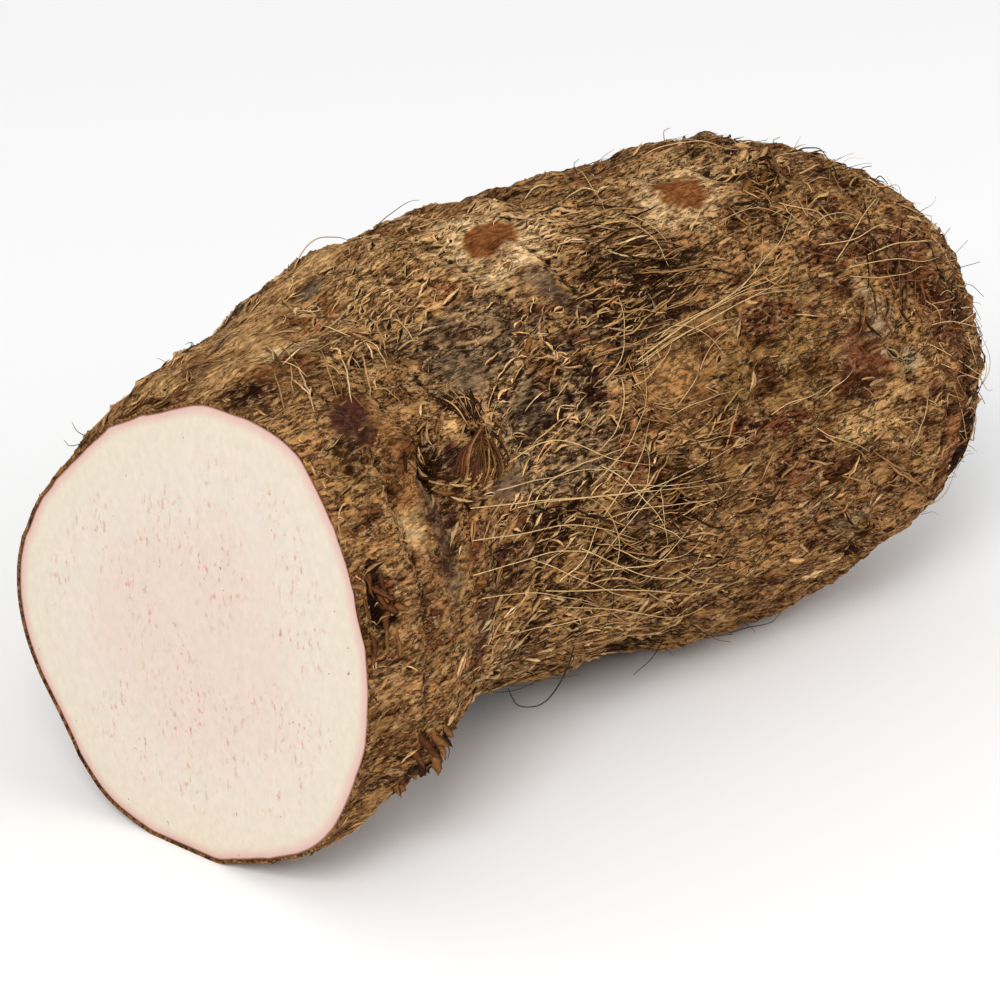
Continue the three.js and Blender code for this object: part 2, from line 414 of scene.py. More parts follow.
@dataclass
class PhotoView:
    """The camera at the photograph's angle, which also finds what a pixel of it shows."""

    azimuth: float = math.radians(-48)
    elevation: float = math.radians(24)
    distance: float = 1020.0
    lens: float = 190.0
    film: float = 36.0
    pixels: int = 1000
    target: tuple[float, float, float] = (-2.5, 10.1, 32.35)
    unseen: float = 1e6        # stands for a place that is turned away, far outside the picture
    seen: Array | None = field(default=None, init=False)

    def __post_init__(self) -> None:
        """Works out where the camera stands and its own axes."""
        a, e = self.azimuth, self.elevation
        self.back = np.array([math.sin(a) * math.cos(e), -math.cos(a) * math.cos(e), math.sin(e)])
        self.eye = np.array(self.target) + self.back * self.distance
        self.right = np.cross(-self.back, [0, 0, 1])
        self.right /= np.linalg.norm(self.right)
        self.up = np.cross(self.right, -self.back)

    def build(self) -> Piece:
        """Sets the camera up.

        Returns:
            The camera.
        """
        data = bpy.data.cameras.new("photo_view")
        data.lens = self.lens
        data.sensor_width = self.film
        data.clip_start, data.clip_end = 0.05, 20
        camera = bpy.data.objects.new("photo_view", data)
        turn = Matrix([self.right, self.up, self.back]).transposed().to_4x4()
        camera.matrix_world = Matrix.Translation(Vector(self.eye * METRES)) @ turn
        bpy.context.scene.collection.objects.link(camera)
        bpy.context.scene.camera = camera
        return camera

    def pixels_of(self, points: Array) -> Array:
        """Projects points into the photograph's frame.

        Args:
            points: points in millimetres.

        Returns:
            Across, down and distance for each point.
        """
        away = points - self.eye
        depth = -(away @ self.back)
        scale = self.lens / self.film * self.pixels
        across = self.pixels / 2 + scale * (away @ self.right) / depth
        down = self.pixels / 2 - scale * (away @ self.up) / depth
        return np.stack([across, down, depth], -1)

    def on_bark(self, bark: "Bark", pixel: tuple[float, float]) -> tuple[float, float]:
        """Finds the place on the bark that a pixel of the photograph shows.

        Args:
            bark: the finished bark.
            pixel: across and down, in the photograph's frame.

        Returns:
            The row and the angle of the nearest place that faces the camera.
        """
        if self.seen is None:
            facing = (bark.normals @ self.back) > 0.02
            self.seen = self.pixels_of(bark.points)
            self.seen[~facing] = self.unseen
        off = np.hypot(self.seen[..., 0] - pixel[0], self.seen[..., 1] - pixel[1]).ravel()
        near = np.argpartition(off, 5)[:5]
        weight = 1 / (off[near] + 0.5) ** 2
        i, j = np.unravel_index(near, bark.points.shape[:2])
        angle = np.unwrap(bark.grid_angle[j])
        places = (np.average(values, weights=weight) for values in (bark.grid_row[i], angle))
        return tuple(float(place) for place in places)

    def trace(self, bark: "Bark", route: Sequence, share: Array) -> tuple[Array, Array]:
        """Lays a route of the photograph on the bark.

        Args:
            bark: the finished bark.
            route: the pixels that it passes.
            share: where to read it, from 0 at its start to 1 at its end.

        Returns:
            Rows and angles along it.
        """
        places = np.array([self.on_bark(bark, pixel) for pixel in route])
        knots = np.linspace(0, 1, len(places))
        return (SmoothCurve(knots, places[:, 0])(share),
                SmoothCurve(knots, np.unwrap(places[:, 1]))(share))

    def on_form(self, shape: CormShape, pixel: tuple[float, float]) -> tuple[float, float]:
        """Finds the place on the solid's own form that a pixel shows.

        Args:
            shape: the form.
            pixel: across and down, in the photograph's frame.

        Returns:
            The distance from the cut, and the angle in degrees.
        """
        rows, angles = np.arange(0, 204, 1.5), np.radians(np.arange(50, 242, 1.5))
        row, angle = np.meshgrid(rows, angles, indexing="ij")
        points = shape.surface(row, angle)
        normal = np.cross(np.gradient(points, axis=1), np.gradient(points, axis=0))
        seen = self.pixels_of(points)
        off = np.hypot(seen[..., 0] - pixel[0], seen[..., 1] - pixel[1])
        off = off + self.unseen * ((normal @ self.back) < 0)
        i, j = np.unravel_index(np.argmin(off), off.shape)
        return float(row[i, j]), math.degrees(angle[i, j])

    def beside(self, start: Array, pixel: tuple[float, float]) -> Array:
        """Finds the point that a pixel shows as far from the camera as a known point.

        Args:
            start: the known point, in millimetres.
            pixel: across and down, in the photograph's frame.

        Returns:
            The point, in millimetres.
        """
        depth = -((start - self.eye) @ self.back)
        scale = depth / (self.lens / self.film * self.pixels)
        across = (pixel[0] - self.pixels / 2) * scale
        down = (pixel[1] - self.pixels / 2) * scale
        return self.eye - self.back * depth + self.right * across - self.up * down


@dataclass
class BarkPattern:
    """Where the bark is cork or bare, smooth or rough, and which colours it has there."""

    shape: CormShape
    view: PhotoView
    base_cork: Tone = OCHRE
    base_skin: Tone = UMBER
    base_cover: float = 0.55
    base_smooth: float = 0.38
    # each patch that the photograph shows: its pixel, half lengths along and round the corm, colours,
    # cover, smoothness and, where they differ from the rest, how torn and how soft its edge is
    shown: tuple = (
        # the wide tones of the shoulder, the middle and the crown half
        (250, 340, 24, 20, TAN, GOLD, 0.6, 0.62),
        (420, 260, 24, 14, TAN, GOLD, 0.6, 0.35),
        (520, 225, 26, 12, TAN, GOLD, 0.65, 0.1),
        (700, 165, 20, 10, TAN, UMBER, 0.6, 0.1),
        (480, 360, 15, 20, TAN, GREY, 0.3, 0.3),
        (560, 430, 14, 18, TAN, GREY, 0.3, 0.3),
        (410, 620, 16, 26, OCHRE, UMBER, 0.5, 0.45),
        (800, 400, 26, 26, OLIVE, UMBER, 0.5, 0.45),
        (780, 540, 32, 14, OCHRE, UMBER, 0.5, 0.35),
        (560, 600, 24, 16, OCHRE, DARK, 0.45, 0.1),
        # the smooth tan skin and the orange bands over the cut
        (300, 276, 13, 7, TAN, GOLD, 0.7, 0.6),
        (236, 334, 13, 6, TAN, GOLD, 0.7, 0.6),
        (168, 388, 10, 6, TAN, GOLD, 0.6, 0.5),
        (308, 290, 4, 3, GREY, GREY, 0.4, 0.6), (312, 314, 7, 5, TAN, RUST, 0.3, 0.4),
        (288, 350, 8, 3.2, PALE, TAN, 0.6, 0.6),
        (276, 371, 10, 3.2, GOLD, RUST, 0.45, 0.6),
        (240, 394, 7, 3.4, BROWN, DARK, 0.3, 0.5),
        (350, 366, 7, 6, TAN, GOLD, 0.5, 0.1),
        (356, 421, 8.4, 4.8, PURPLE, PURPLE, 0, 0.9, 0.3, 0.2, 0.2),
        (348, 463, 5, 5, OLIVE, DARK, 0.4, 0.5),
        (401, 440, 4.4, 9, GOLD, GOLD, 0.5, 0.55, 0.7, 0.7),
        (408, 495, 4.4, 9, GOLD, GOLD, 0.5, 0.55, 0.7, 0.7),
        (412, 526, 3.6, 3.4, STONE, TAN, 0.4, 0.7, 0.6),
        (440, 298, 8, 4, TAN, RUST, 0.45, 0.4),
        (444, 330, 5, 3.4, GREY, DARK, 0.4, 0.5),
        # the grey bands
        (548, 286, 3, 8, GREY, GREY, 0.35, 0.7),
        (600, 320, 4, 8, GREY, GREY, 0.4, 0.6),
        (470, 370, 6, 4, GREY, GREY, 0.4, 0.6),
        (530, 405, 5, 5, GREY, GREY, 0.4, 0.6),
        (545, 365, 4, 5, BROWN, UMBER, 0.5, 0.3),
        (590, 385, 3, 7, DARK, DARK, 0.4, 0.2),
        (445, 545, 3, 13, GREY, PURPLE, 0.45, 0.7),
        (506, 488, 5, 3, GREY, GREY, 0.4, 0.7),
        (476, 551, 2.2, 2.6, RED, RED, 0.3, 0.4),
        (487, 620, 5, 6, GREY, UMBER, 0.4, 0.5),
        # the dark stretches and red islands round the bulge
        (635, 265, 14, 7, OCHRE, DARK, 0.3, 0),
        (625, 305, 12, 7, OCHRE, DARK, 0.3, 0), (636, 348, 8, 5, BROWN, DARK, 0.3, 0),
        (636, 448, 4, 6, BROWN, RED, 0.3, 0.2),
        (655, 375, 1.8, 4, RED, RED, 0.3, 0.5),
        (684, 374, 9, 8, OCHRE, GOLD, 0.6, 0.6),
        (742, 374, 6, 6, OLIVE, OLIVE, 0.6, 0.4),
        (775, 312, 8, 3.2, RUST, RED, 0.1, 0.3),
        (678, 492, 5, 6, BROWN, DARK, 0.25, 0),
        (633, 510, 4, 4, GREY, PURPLE, 0.4, 0.5),
        (642, 553, 11, 3.2, BROWN, DARK, 0.3, 0),
        (560, 520, 7, 4, BROWN, DARK, 0.35, 0),
        (780, 420, 6, 3, OCHRE, RED, 0.15, 0.3),
        (812, 466, 7, 6, OCHRE, RED, 0.25, 0),
        (738, 436, 6, 3.4, RUST, RED, 0.2, 0.3), (862, 422, 7, 4, TAN, OLIVE, 0.8, 0),
        (748, 560, 12, 6, OCHRE, GOLD, 0.65, 0.3),
        (858, 520, 5, 4, STONE, GREY, 0.4, 0.5),
        (858, 518, 2, 1.6, DARK, DARK, 0.2, 0.2),
        (430, 700, 7, 8, OCHRE, GOLD, 0.6, 0.4),
        # the upper right
        (770, 225, 9, 6, OCHRE, BROWN, 0.6, 0.3),
        (778, 230, 3, 3, BROWN, DARK, 0.3, 0),
        (850, 245, 12, 3.4, RUST, RED, 0.1, 0.3),
        (895, 262, 6, 6, BROWN, PURPLE, 0.1, 0.2),
        (920, 276, 4, 9, RUST, RED, 0.1, 0.4),
        (947, 300, 2.4, 4, PURPLE, PURPLE, 0.3, 0.8),
        (958, 340, 5, 9, RUST, RED, 0.2, 0.4),
        (958, 425, 5, 13, RUST, RUST, 0.3, 0.6),
        (864, 364, 6.8, 6.4, RUST, RED, 0, 0.6, 0.4, 0.2),
        (880, 316, 4, 6, STONE, RED, 0.55, 0.5, 0.8, 0.3),
        (913, 355, 3, 3.4, STONE, UMBER, 0.5, 0.3, 0.8, 0.3),
        (905, 420, 5, 8, TAN, OLIVE, 0.6, 0.2),
        (765, 184, 4, 4, BROWN, DARK, 0.25, 0),
        # the leaf scars, each in its pale surround
        (490, 240, 13, 12, PALE, TAN, 0.6, 0.5, 0.5, 0.6, 0.5),
        (489, 234, 7.4, 5.4, SCAR, SCAR, 0.5, 1, 0.2, 0.08, 0.69),
        (680, 192, 11, 9, PALE, TAN, 0.5, 0.5, 0.5, 0.6, 0.5),
        (681, 190, 6.4, 6, SCAR, SCAR, 0.5, 1, 0.3, 0.1, 0.25),
        # the pits and the tip of the side bud, and the crack by the cut
        (428, 448, 2.2, 4.4, DARK, DARK, 0.2, 0.3),
        (481, 430, 1.6, 1.8, RED, DARK, 0.3, 0.2),
        (457, 494, 3, 1.6, DARK, DARK, 0.2, 0.3),
        (384, 600, 1.8, 6, RED, RED, 0.2, 0.3, 0.3, 0.2),
    )
    hidden_patches: int = 60
    hidden_kinds: tuple = (
        (TAN, GOLD, 0.65, 0.6), (OLIVE, UMBER, 0.6, 0.1), (TAN, GREY, 0.35, 0.4),
        (BROWN, DARK, 0.35, 0.0), (GOLD, RUST, 0.45, 0.5), (RUST, RED, 0.4, 0.3),
        (GREY, PURPLE, 0.4, 0.6), (OCHRE, UMBER, 0.6, 0.1), (SCAR, SCAR, 0.5, 1.0),
    )
    scar_size: float = 3.6
    islands: int = 190         # small dark slits, red islands and crusts of cork all over the bark
    island_kinds: tuple = ((DARK, 0.0), (PURPLE, 0.0), (RED, 0.0), (TAN, 0.9))
    crown: Patch = Patch(199, 90, 9, 90, RUST, RED, 0.4, 0.2)
    seed: int = 71
    patches: tuple = ()

    def __post_init__(self) -> None:
        """Places the patches, and scatters like ones over the side that the photograph doesn't show."""
        draw = np.random.default_rng(self.seed)
        scattered = []
        for k in range(self.hidden_patches):
            cork, skin, cover, smooth = self.hidden_kinds[k % len(self.hidden_kinds)]
            size = self.scar_size if cork is SCAR else draw.uniform(3, 15)
            place = (draw.uniform(6, 190), draw.uniform(-112, 50))
            spread = (size * draw.uniform(0.7, 1.5), size * draw.uniform(0.5, 1.1))
            scattered.append(Patch(*place, *spread, cork, skin, cover, smooth, draw.uniform(0.2, 0.6)))
        for k in range(self.islands):
            tone, cover = self.island_kinds[k % len(self.island_kinds)]
            place = (draw.uniform(12, 192), draw.uniform(0, 360))
            spread = (draw.uniform(1.4, 4.2), draw.uniform(0.9, 2.1))
            scattered.append(Patch(*place, *spread, tone, tone, cover, smooth=0.45, ragged=0.55,
                                   soft=0.4, lean=draw.normal(0, 0.4)))
        placed = [Patch(*self.view.on_form(self.shape, shown[:2]), *shown[2:]) for shown in self.shown]
        self.patches = tuple(scattered) + tuple(placed) + (self.crown,)

    def read(self, row: Array, angle: Array, points: Array) -> dict[str, Array]:
        """Reads the pattern at places on the bark.

        Args:
            row: distances from the cut.
            angle: angles in radians.
            points: the same places in millimetres, for the random edges.

        Returns:
            cork and skin, colours; cover and smooth, from 0 to 1.
        """
        torn = fractal(points, (5, 3, 3), 4, 3.7)
        cork = np.broadcast_to(np.array(self.base_cork.value), row.shape + (3,)).copy()
        skin = np.broadcast_to(np.array(self.base_skin.value), row.shape + (3,)).copy()
        cover = np.full(row.shape, self.base_cover)
        smooth = np.full(row.shape, self.base_smooth)
        for patch in self.patches:
            turn = angle - math.radians(patch.angle)
            turn = turn - FULL_TURN * np.round(turn / FULL_TURN)
            across = turn * np.maximum(self.shape.radius_at(patch.x), 12) / patch.round
            along = (row - patch.x) / patch.along + patch.lean * across
            away = np.hypot(along, across) + patch.ragged * torn
            weight = 1 - smoothstep(away, 1 - patch.soft, 1 + 0.7 * patch.soft)
            cork += (np.array(patch.cork.value) - cork) * weight[..., None]
            skin += (np.array(patch.skin.value) - skin) * weight[..., None]
            cover += (patch.cover - cover) * weight
            smooth += (patch.smooth - smooth) * weight
        return {"cork": cork, "skin": skin, "cover": cover, "smooth": smooth}


class Sheet:
    """A material's node tree, written down node by node."""

    def __init__(self, name: str) -> None:
        """Starts a material with one shader.

        Args:
            name: the material's name.
        """
        self.material = bpy.data.materials.new(name)
        self.material.use_nodes = True
        self.tree = self.material.node_tree
        self.shader = self.tree.nodes["Principled BSDF"]
        self.place = self.node("ShaderNodeTexCoord").outputs["Object"]

    def node(self, kind: str, settings: dict | None = None, **inputs: Value) -> bpy.types.Node:
        """Adds a node.

        Args:
            kind: Blender's name for the node.
            settings: its own properties.
            inputs: values or sockets for its inputs, by name with _ for a space, or by number
                after an i.

        Returns:
            The node.
        """
        node = self.tree.nodes.new(kind)
        for key, value in (settings or {}).items():
            setattr(node, key, value)
        for key, value in inputs.items():
            numbered = key[0] == "i" and key[1:].isdigit()
            socket = node.inputs[int(key[1:]) if numbered else key.replace("_", " ")]
            self.join(value, socket)
        return node

    def join(self, value: Value, socket: Socket) -> None:
        """Gives an input a value.

        Args:
            value: a socket, which is linked, or a plain value.
            socket: the input.
        """
        if isinstance(value, Socket):
            self.tree.links.new(value, socket)
        else:
            socket.default_value = value

    def grain(self, size: Sequence[float], detail: float, rough: float = 0.6,
              warp: float = 0.0) -> Socket:
        """Adds a random grain, and returns its value.

        Args:
            size: size of its largest grains along each axis, in millimetres.
            detail: how many finer layers it has.
            rough: how strong the finer layers are.
            warp: how far it is swirled.

        Returns:
            The socket of its value, about 0.5 on the mean.
        """
        scale = tuple(1 / (s * METRES) for s in size)
        mapped = self.node("ShaderNodeMapping", Vector=self.place, Scale=scale).outputs[0]
        settings = {"noise_dimensions": "3D"}
        made = self.node("ShaderNodeTexNoise", settings, Vector=mapped, Scale=1.0, Detail=detail,
                         Roughness=rough, Distortion=warp)
        return made.outputs["Fac"]

    def off_middle(self, value: Socket) -> Socket:
        """Gives how far a grain's value is from its mean, which draws winding lines."""
        apart = self.minus(value, 0.5)
        return self.node("ShaderNodeMath", {"operation": "ABSOLUTE"}, i0=apart).outputs[0]

    def grey(self, value: Socket) -> Socket:
        """Turns a value into a grey."""
        return self.node("ShaderNodeCombineColor", Red=value, Green=value, Blue=value).outputs[0]

    def attribute(self, name: str, output: str = "Color") -> Socket:
        """Reads one of the mesh's own attributes."""
        return self.node("ShaderNodeAttribute", {"attribute_name": name}).outputs[output]

    def ease(self, value: Socket, low: float, high: float, to_low: float = 0.0,
             to_high: float = 1.0) -> Socket:
        """Maps a value from one range to another, eased and clamped.

        Args:
            value: the socket of the value.
            low: the value that gives to_low.
            high: the value that gives to_high.
            to_low: the result at low.
            to_high: the result at high.

        Returns:
            The socket of the result.
        """
        made = self.node("ShaderNodeMapRange", {"interpolation_type": "SMOOTHSTEP"}, Value=value)
        ends = {"From Min": low, "From Max": high, "To Min": to_low, "To Max": to_high}
        for key, number in ends.items():
            self.join(number, made.inputs[key])
        return made.outputs[0]

    def mix(self, share: Value, first: Value, second: Value, blend: str = "MIX") -> Socket:
        """Mixes two colours.

        Args:
            share: how much of the second there is, 0 to 1.
            first: socket or value of the first colour.
            second: socket or value of the second.
            blend: Blender's name for the way they mix.

        Returns:
            The socket of the result.
        """
        made = self.node("ShaderNodeMix", {"data_type": "RGBA", "blend_type": blend})
        for index, value in ((0, share), (6, first), (7, second)):
            if isinstance(value, tuple) and len(value) == 3:
                value = (*value, 1.0)
            self.join(value, made.inputs[index])
        return made.outputs[2]

    def sum(self, operation: str, first: Value, *others: Value) -> Socket:
        """Does the same sum on values, one after another.

        Args:
            operation: Blender's name for the sum.
            first: the first value.
            others: the values that follow.

        Returns:
            The socket of the result.
        """
        for other in others:
            made = self.node("ShaderNodeMath", {"operation": operation}, i0=first, i1=other)
            first = made.outputs[0]
        return first

    def plus(self, first: Value, *others: Value) -> Socket:
        """Adds values up."""
        return self.sum("ADD", first, *others)

    def minus(self, first: Value, second: Value) -> Socket:
        """Takes the second value from the first."""
        return self.sum("SUBTRACT", first, second)

    def times(self, first: Value, *others: Value) -> Socket:
        """Multiplies values."""
        return self.sum("MULTIPLY", first, *others)

    def finish(self, colour: Value, rough: Value, bump: Socket | None = None,
               depth: float = 0.2) -> bpy.types.Material:
        """Gives the shader its colour, roughness and fine relief.

        Args:
            colour: socket or value of the colour.
            rough: socket or value of the roughness.
            bump: socket of the fine relief, if any.
            depth: height of that relief, in millimetres.

        Returns:
            The material.
        """
        self.join(colour, self.shader.inputs["Base Color"])
        self.join(rough, self.shader.inputs["Roughness"])
        if bump is not None:
            made = self.node("ShaderNodeBump", Height=bump, Distance=depth * METRES, Strength=1.0)
            self.join(made.outputs[0], self.shader.inputs["Normal"])
        return self.material


@dataclass(frozen=True)
class BarkFinish:
    """Dry bark: bare skin with threads and crumbs of cork, with painted shade where it is deep."""

    specular: float = 0.02
    roughness: float = 0.85
    bump_depth: float = 0.6
    fine: tuple[float, float, float] = (2.2, 0.7, 0.7)         # grain sizes, in millimetres
    marble: tuple[float, float, float] = (8.0, 3.4, 3.4)
    flow: tuple[float, float, float] = (7.0, 2.2, 2.2)
    blotch: tuple[float, float, float] = (13, 8, 8)
    broad: tuple[float, float, float] = (22, 9, 9)
    # a dark brown for the skin's own dark blotches and for painted shade in grooves, pits, crevices and
    # hollows
    dark_skin_and_shade: tuple[float, float, float] = linear(26, 11, 4)
    shade: tuple[float, float, float] = linear(150, 128, 114)    # what dark stretches leave

    def make(self) -> bpy.types.Material:
        """Makes the material."""
        sheet = Sheet("taro_bark")
        fine = sheet.grain(self.fine, 4, 0.7)
        marble = sheet.grain(self.marble, 4, 0.58, 0.9)
        flow = sheet.grain(self.flow, 4, 0.58, 1.2)
        blotch = sheet.grain(self.blotch, 4, 0.62)
        cover = sheet.attribute("cover", "Fac")
        loose = sheet.ease(sheet.attribute("smooth", "Fac"), 0.25, 0.85, 1.0, 0.15)
        edge = sheet.minus(0.66, sheet.times(cover, 0.32))
        both = sheet.plus(sheet.times(flow, 0.5), sheet.times(blotch, 0.5))
        cork_here = sheet.ease(sheet.minus(both, edge), -0.1, 0.09)
        skin = sheet.mix(sheet.ease(blotch, 0.5, 0.66, 0, 0.35), sheet.attribute("skin"), RED.value)
        skin = sheet.mix(sheet.ease(blotch, 0.46, 0.34, 0, 0.5), skin, self.dark_skin_and_shade)
        colour = sheet.mix(cork_here, skin, sheet.attribute("cork"))
        # grain by grain brightness that follows the bump's heights: the cork's own mottling, with painted
        # light on high grains and painted shade on low ones
        colour = sheet.mix(1.0, colour, sheet.grey(sheet.ease(fine, 0.32, 0.68, 0.5, 1.52)), "MULTIPLY")
        broad = sheet.grain(self.broad, 4, 0.66)
        colour = sheet.mix(sheet.ease(broad, 0.48, 0.36, 0, 0.8), colour, self.shade, "MULTIPLY")
        vein = sheet.ease(sheet.off_middle(marble), 0.04, 0.01)
        vein = sheet.times(vein, sheet.ease(fine, 0.4, 0.55), loose)
        # painted shade in the grooves of the winding lines and in the pits, which the bump also sinks
        line = sheet.ease(sheet.off_middle(flow), 0.042, 0.01)
        line = sheet.times(line, sheet.ease(fine, 0.6, 0.48), loose)
        pit = sheet.times(sheet.ease(sheet.plus(flow, fine), 0.88, 0.77), loose)
        pale = sheet.mix(0.45, sheet.attribute("cork"), PALE.value)
        colour = sheet.mix(sheet.times(vein, 0.75), colour, pale)
        colour = sheet.mix(sheet.times(line, 0.88), colour, self.dark_skin_and_shade)
        colour = sheet.mix(sheet.times(pit, 0.85), colour, self.dark_skin_and_shade)
        # painted shade: the bark is darkened where the depth attribute is high and where the fine grain
        # lies low
        depth = sheet.plus(sheet.attribute("depth", "Fac"), sheet.times(sheet.minus(0.5, fine), 0.8))
        colour = sheet.mix(sheet.ease(depth, 0.18, 0.62, 0, 0.94), colour, self.dark_skin_and_shade)
        lifted = sheet.plus(sheet.times(fine, 0.6), sheet.times(vein, 0.4))
        lifted = sheet.minus(lifted, sheet.times(sheet.plus(line, pit), 0.3))
        sheet.shader.inputs["Specular IOR Level"].default_value = self.specular
        return sheet.finish(colour, self.roughness, lifted, self.bump_depth)


@dataclass(frozen=True)
class StrandFinish:
    """Shreds of cork and hairs: each has its own tone, with painted shade that darkens it towards its
    foot, where it lies on the bark.
    """

    name: str
    specular: float
    roughness: tuple[float, float]
    # the foot is the side of a strand that lies on the bark, and its darkening there is painted shade
    foot: float                # share of its colour that is left at the foot

    def make(self) -> bpy.types.Material:
        """Makes the material."""
        sheet = Sheet(self.name)
        grain = sheet.grain((1.4, 0.4, 0.4), 3, 0.6)
        # painted shade: each strand is darker towards its foot and lighter on its top
        shade = sheet.times(sheet.ease(grain, 0.3, 0.7, 0.72, 1.22),
                            sheet.ease(sheet.attribute("rise", "Fac"), 0.1, 0.8, self.foot, 1.0))
        colour = sheet.mix(1.0, sheet.attribute("tint"), sheet.grey(shade), "MULTIPLY")
        sheet.shader.inputs["Specular IOR Level"].default_value = self.specular
        return sheet.finish(colour, sheet.ease(grain, 0.3, 0.7, *self.roughness), grain, 0.06)


@dataclass(frozen=True)
class FleshFinish:
    """Fresh-cut flesh: cream with a pink middle, fine flecks and a pink line under the skin."""

    cream: tuple = linear(213, 201, 186)
    yellow: tuple = linear(213, 202, 181)
    pink: tuple = linear(213, 194, 180)
    rim: tuple = linear(208, 160, 152)
    skin: tuple = linear(120, 70, 48)
    fleck: tuple = linear(196, 136, 108)
    speck: tuple = linear(120, 78, 50)
    specular: float = 0.35
    bump_depth: float = 0.08
    glow: float = 0.25         # how much light passes through it, and how far for each colour
    glow_colours: tuple[float, float, float] = (1.0, 0.6, 0.4)
    glow_reach: float = 2.0

    def make(self) -> bpy.types.Material:
        """Makes the material."""
        sheet = Sheet("taro_flesh")
        out = sheet.attribute("out", "Fac")
        cloud = sheet.grain((30, 22, 26), 3, 0.5)
        wide = sheet.plus(out, sheet.times(sheet.minus(cloud, 0.5), 0.5))
        colour = sheet.mix(sheet.ease(wide, 0.35, 0.72), self.pink, self.cream)
        colour = sheet.mix(sheet.ease(wide, 0.7, 0.93, 0, 0.75), colour, self.yellow)
        streak = sheet.grain((3, 1.0, 2.0), 3, 0.6)
        patches = sheet.grain((10, 9, 13), 2, 0.5)
        flecks = sheet.times(sheet.ease(streak, 0.54, 0.74), sheet.ease(patches, 0.38, 0.56))
        inner = sheet.ease(out, 0.88, 0.74)
        flecks = sheet.times(flecks, inner, 0.95)
        colour = sheet.mix(flecks, colour, self.fleck)
        mottle = sheet.grain((1.6, 1.6, 2.2), 4, 0.65)
        mottled = sheet.grey(sheet.ease(mottle, 0.3, 0.7, 0.955, 1.035))
        colour = sheet.mix(1.0, colour, mottled, "MULTIPLY")
        blush = sheet.ease(sheet.grain((8, 2.4, 9), 3, 0.6), 0.5, 0.75, 0, 0.5)
        colour = sheet.mix(sheet.times(blush, inner), colour, self.pink)
        dots = sheet.grain((1.0, 0.9, 1.1), 1, 0.4)
        colour = sheet.mix(sheet.ease(dots, 0.79, 0.82, 0, 0.7), colour, self.speck)
        colour = sheet.mix(sheet.ease(out, 0.935, 0.992, 0, 0.75), colour, self.rim)
        colour = sheet.mix(sheet.ease(out, 0.988, 0.997, 0, 0.9), colour, self.skin)
        knife = sheet.grain((40, 0.7, 50), 4, 0.6)
        crumb = sheet.grain((0.5, 0.5, 0.6), 3, 0.6)
        bump = sheet.plus(sheet.times(knife, 0.8), sheet.times(crumb, 0.35))
        sheet.shader.inputs["Specular IOR Level"].default_value = self.specular
        sheet.shader.inputs["Subsurface Weight"].default_value = self.glow
        sheet.shader.inputs["Subsurface Radius"].default_value = self.glow_colours
        sheet.shader.inputs["Subsurface Scale"].default_value = self.glow_reach * METRES
        return sheet.finish(colour, sheet.ease(crumb, 0.3, 0.7, 0.42, 0.62), bump, self.bump_depth)


def place_mesh(obj: Piece, points: Array) -> None:
    """Moves a mesh's vertices to points in millimetres."""
    obj.data.vertices.foreach_set("co", (points * METRES).astype(np.float32).ravel())
    obj.data.update()


def paint(mesh: bpy.types.Mesh, name: str, values: Array) -> None:
    """Keeps a value or a colour for each vertex of a mesh.

    Args:
        mesh: the mesh.
        name: the attribute's name.
        values: one number, or three, for each vertex.
    """
    if values.ndim == 1:
        attribute = mesh.attributes.new(name, "FLOAT", "POINT")
        attribute.data.foreach_set("value", values.astype(np.float32))
        return
    attribute = mesh.attributes.new(name, "FLOAT_COLOR", "POINT")
    full = np.ones((len(values), 4), np.float32)
    full[:, :3] = values
    attribute.data.foreach_set("color", full.ravel())


def soften(lines: Array, times: int) -> None:
    """Evens lines of points out a number of times, all but their two ends."""
    for _ in range(times):
        lines[:, 1:-1] = (lines[:, :-2] + 2 * lines[:, 1:-1] + lines[:, 2:]) / 4


def new_primitive(add: Callable, name: str, **settings: object) -> Piece:
    """Adds a primitive with nothing else selected.

    Args:
        add: the operator that adds it.
        name: the new object's name.
        settings: the operator's settings.

    Returns:
        The new object.
    """
    bpy.ops.object.select_all(action="DESELECT")
    add(**settings)
    obj = bpy.context.object
    obj.name = obj.data.name = name
    return obj


def settle(obj: Piece, material: bpy.types.Material) -> Piece:
    """Dresses a finished piece and makes it ride on the corm.

    Args:
        obj: the piece.
        material: its finish.

    Returns:
        The piece.
    """
    obj.data.materials.clear()
    obj.data.materials.append(material)
    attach(obj, BODY)
    return obj


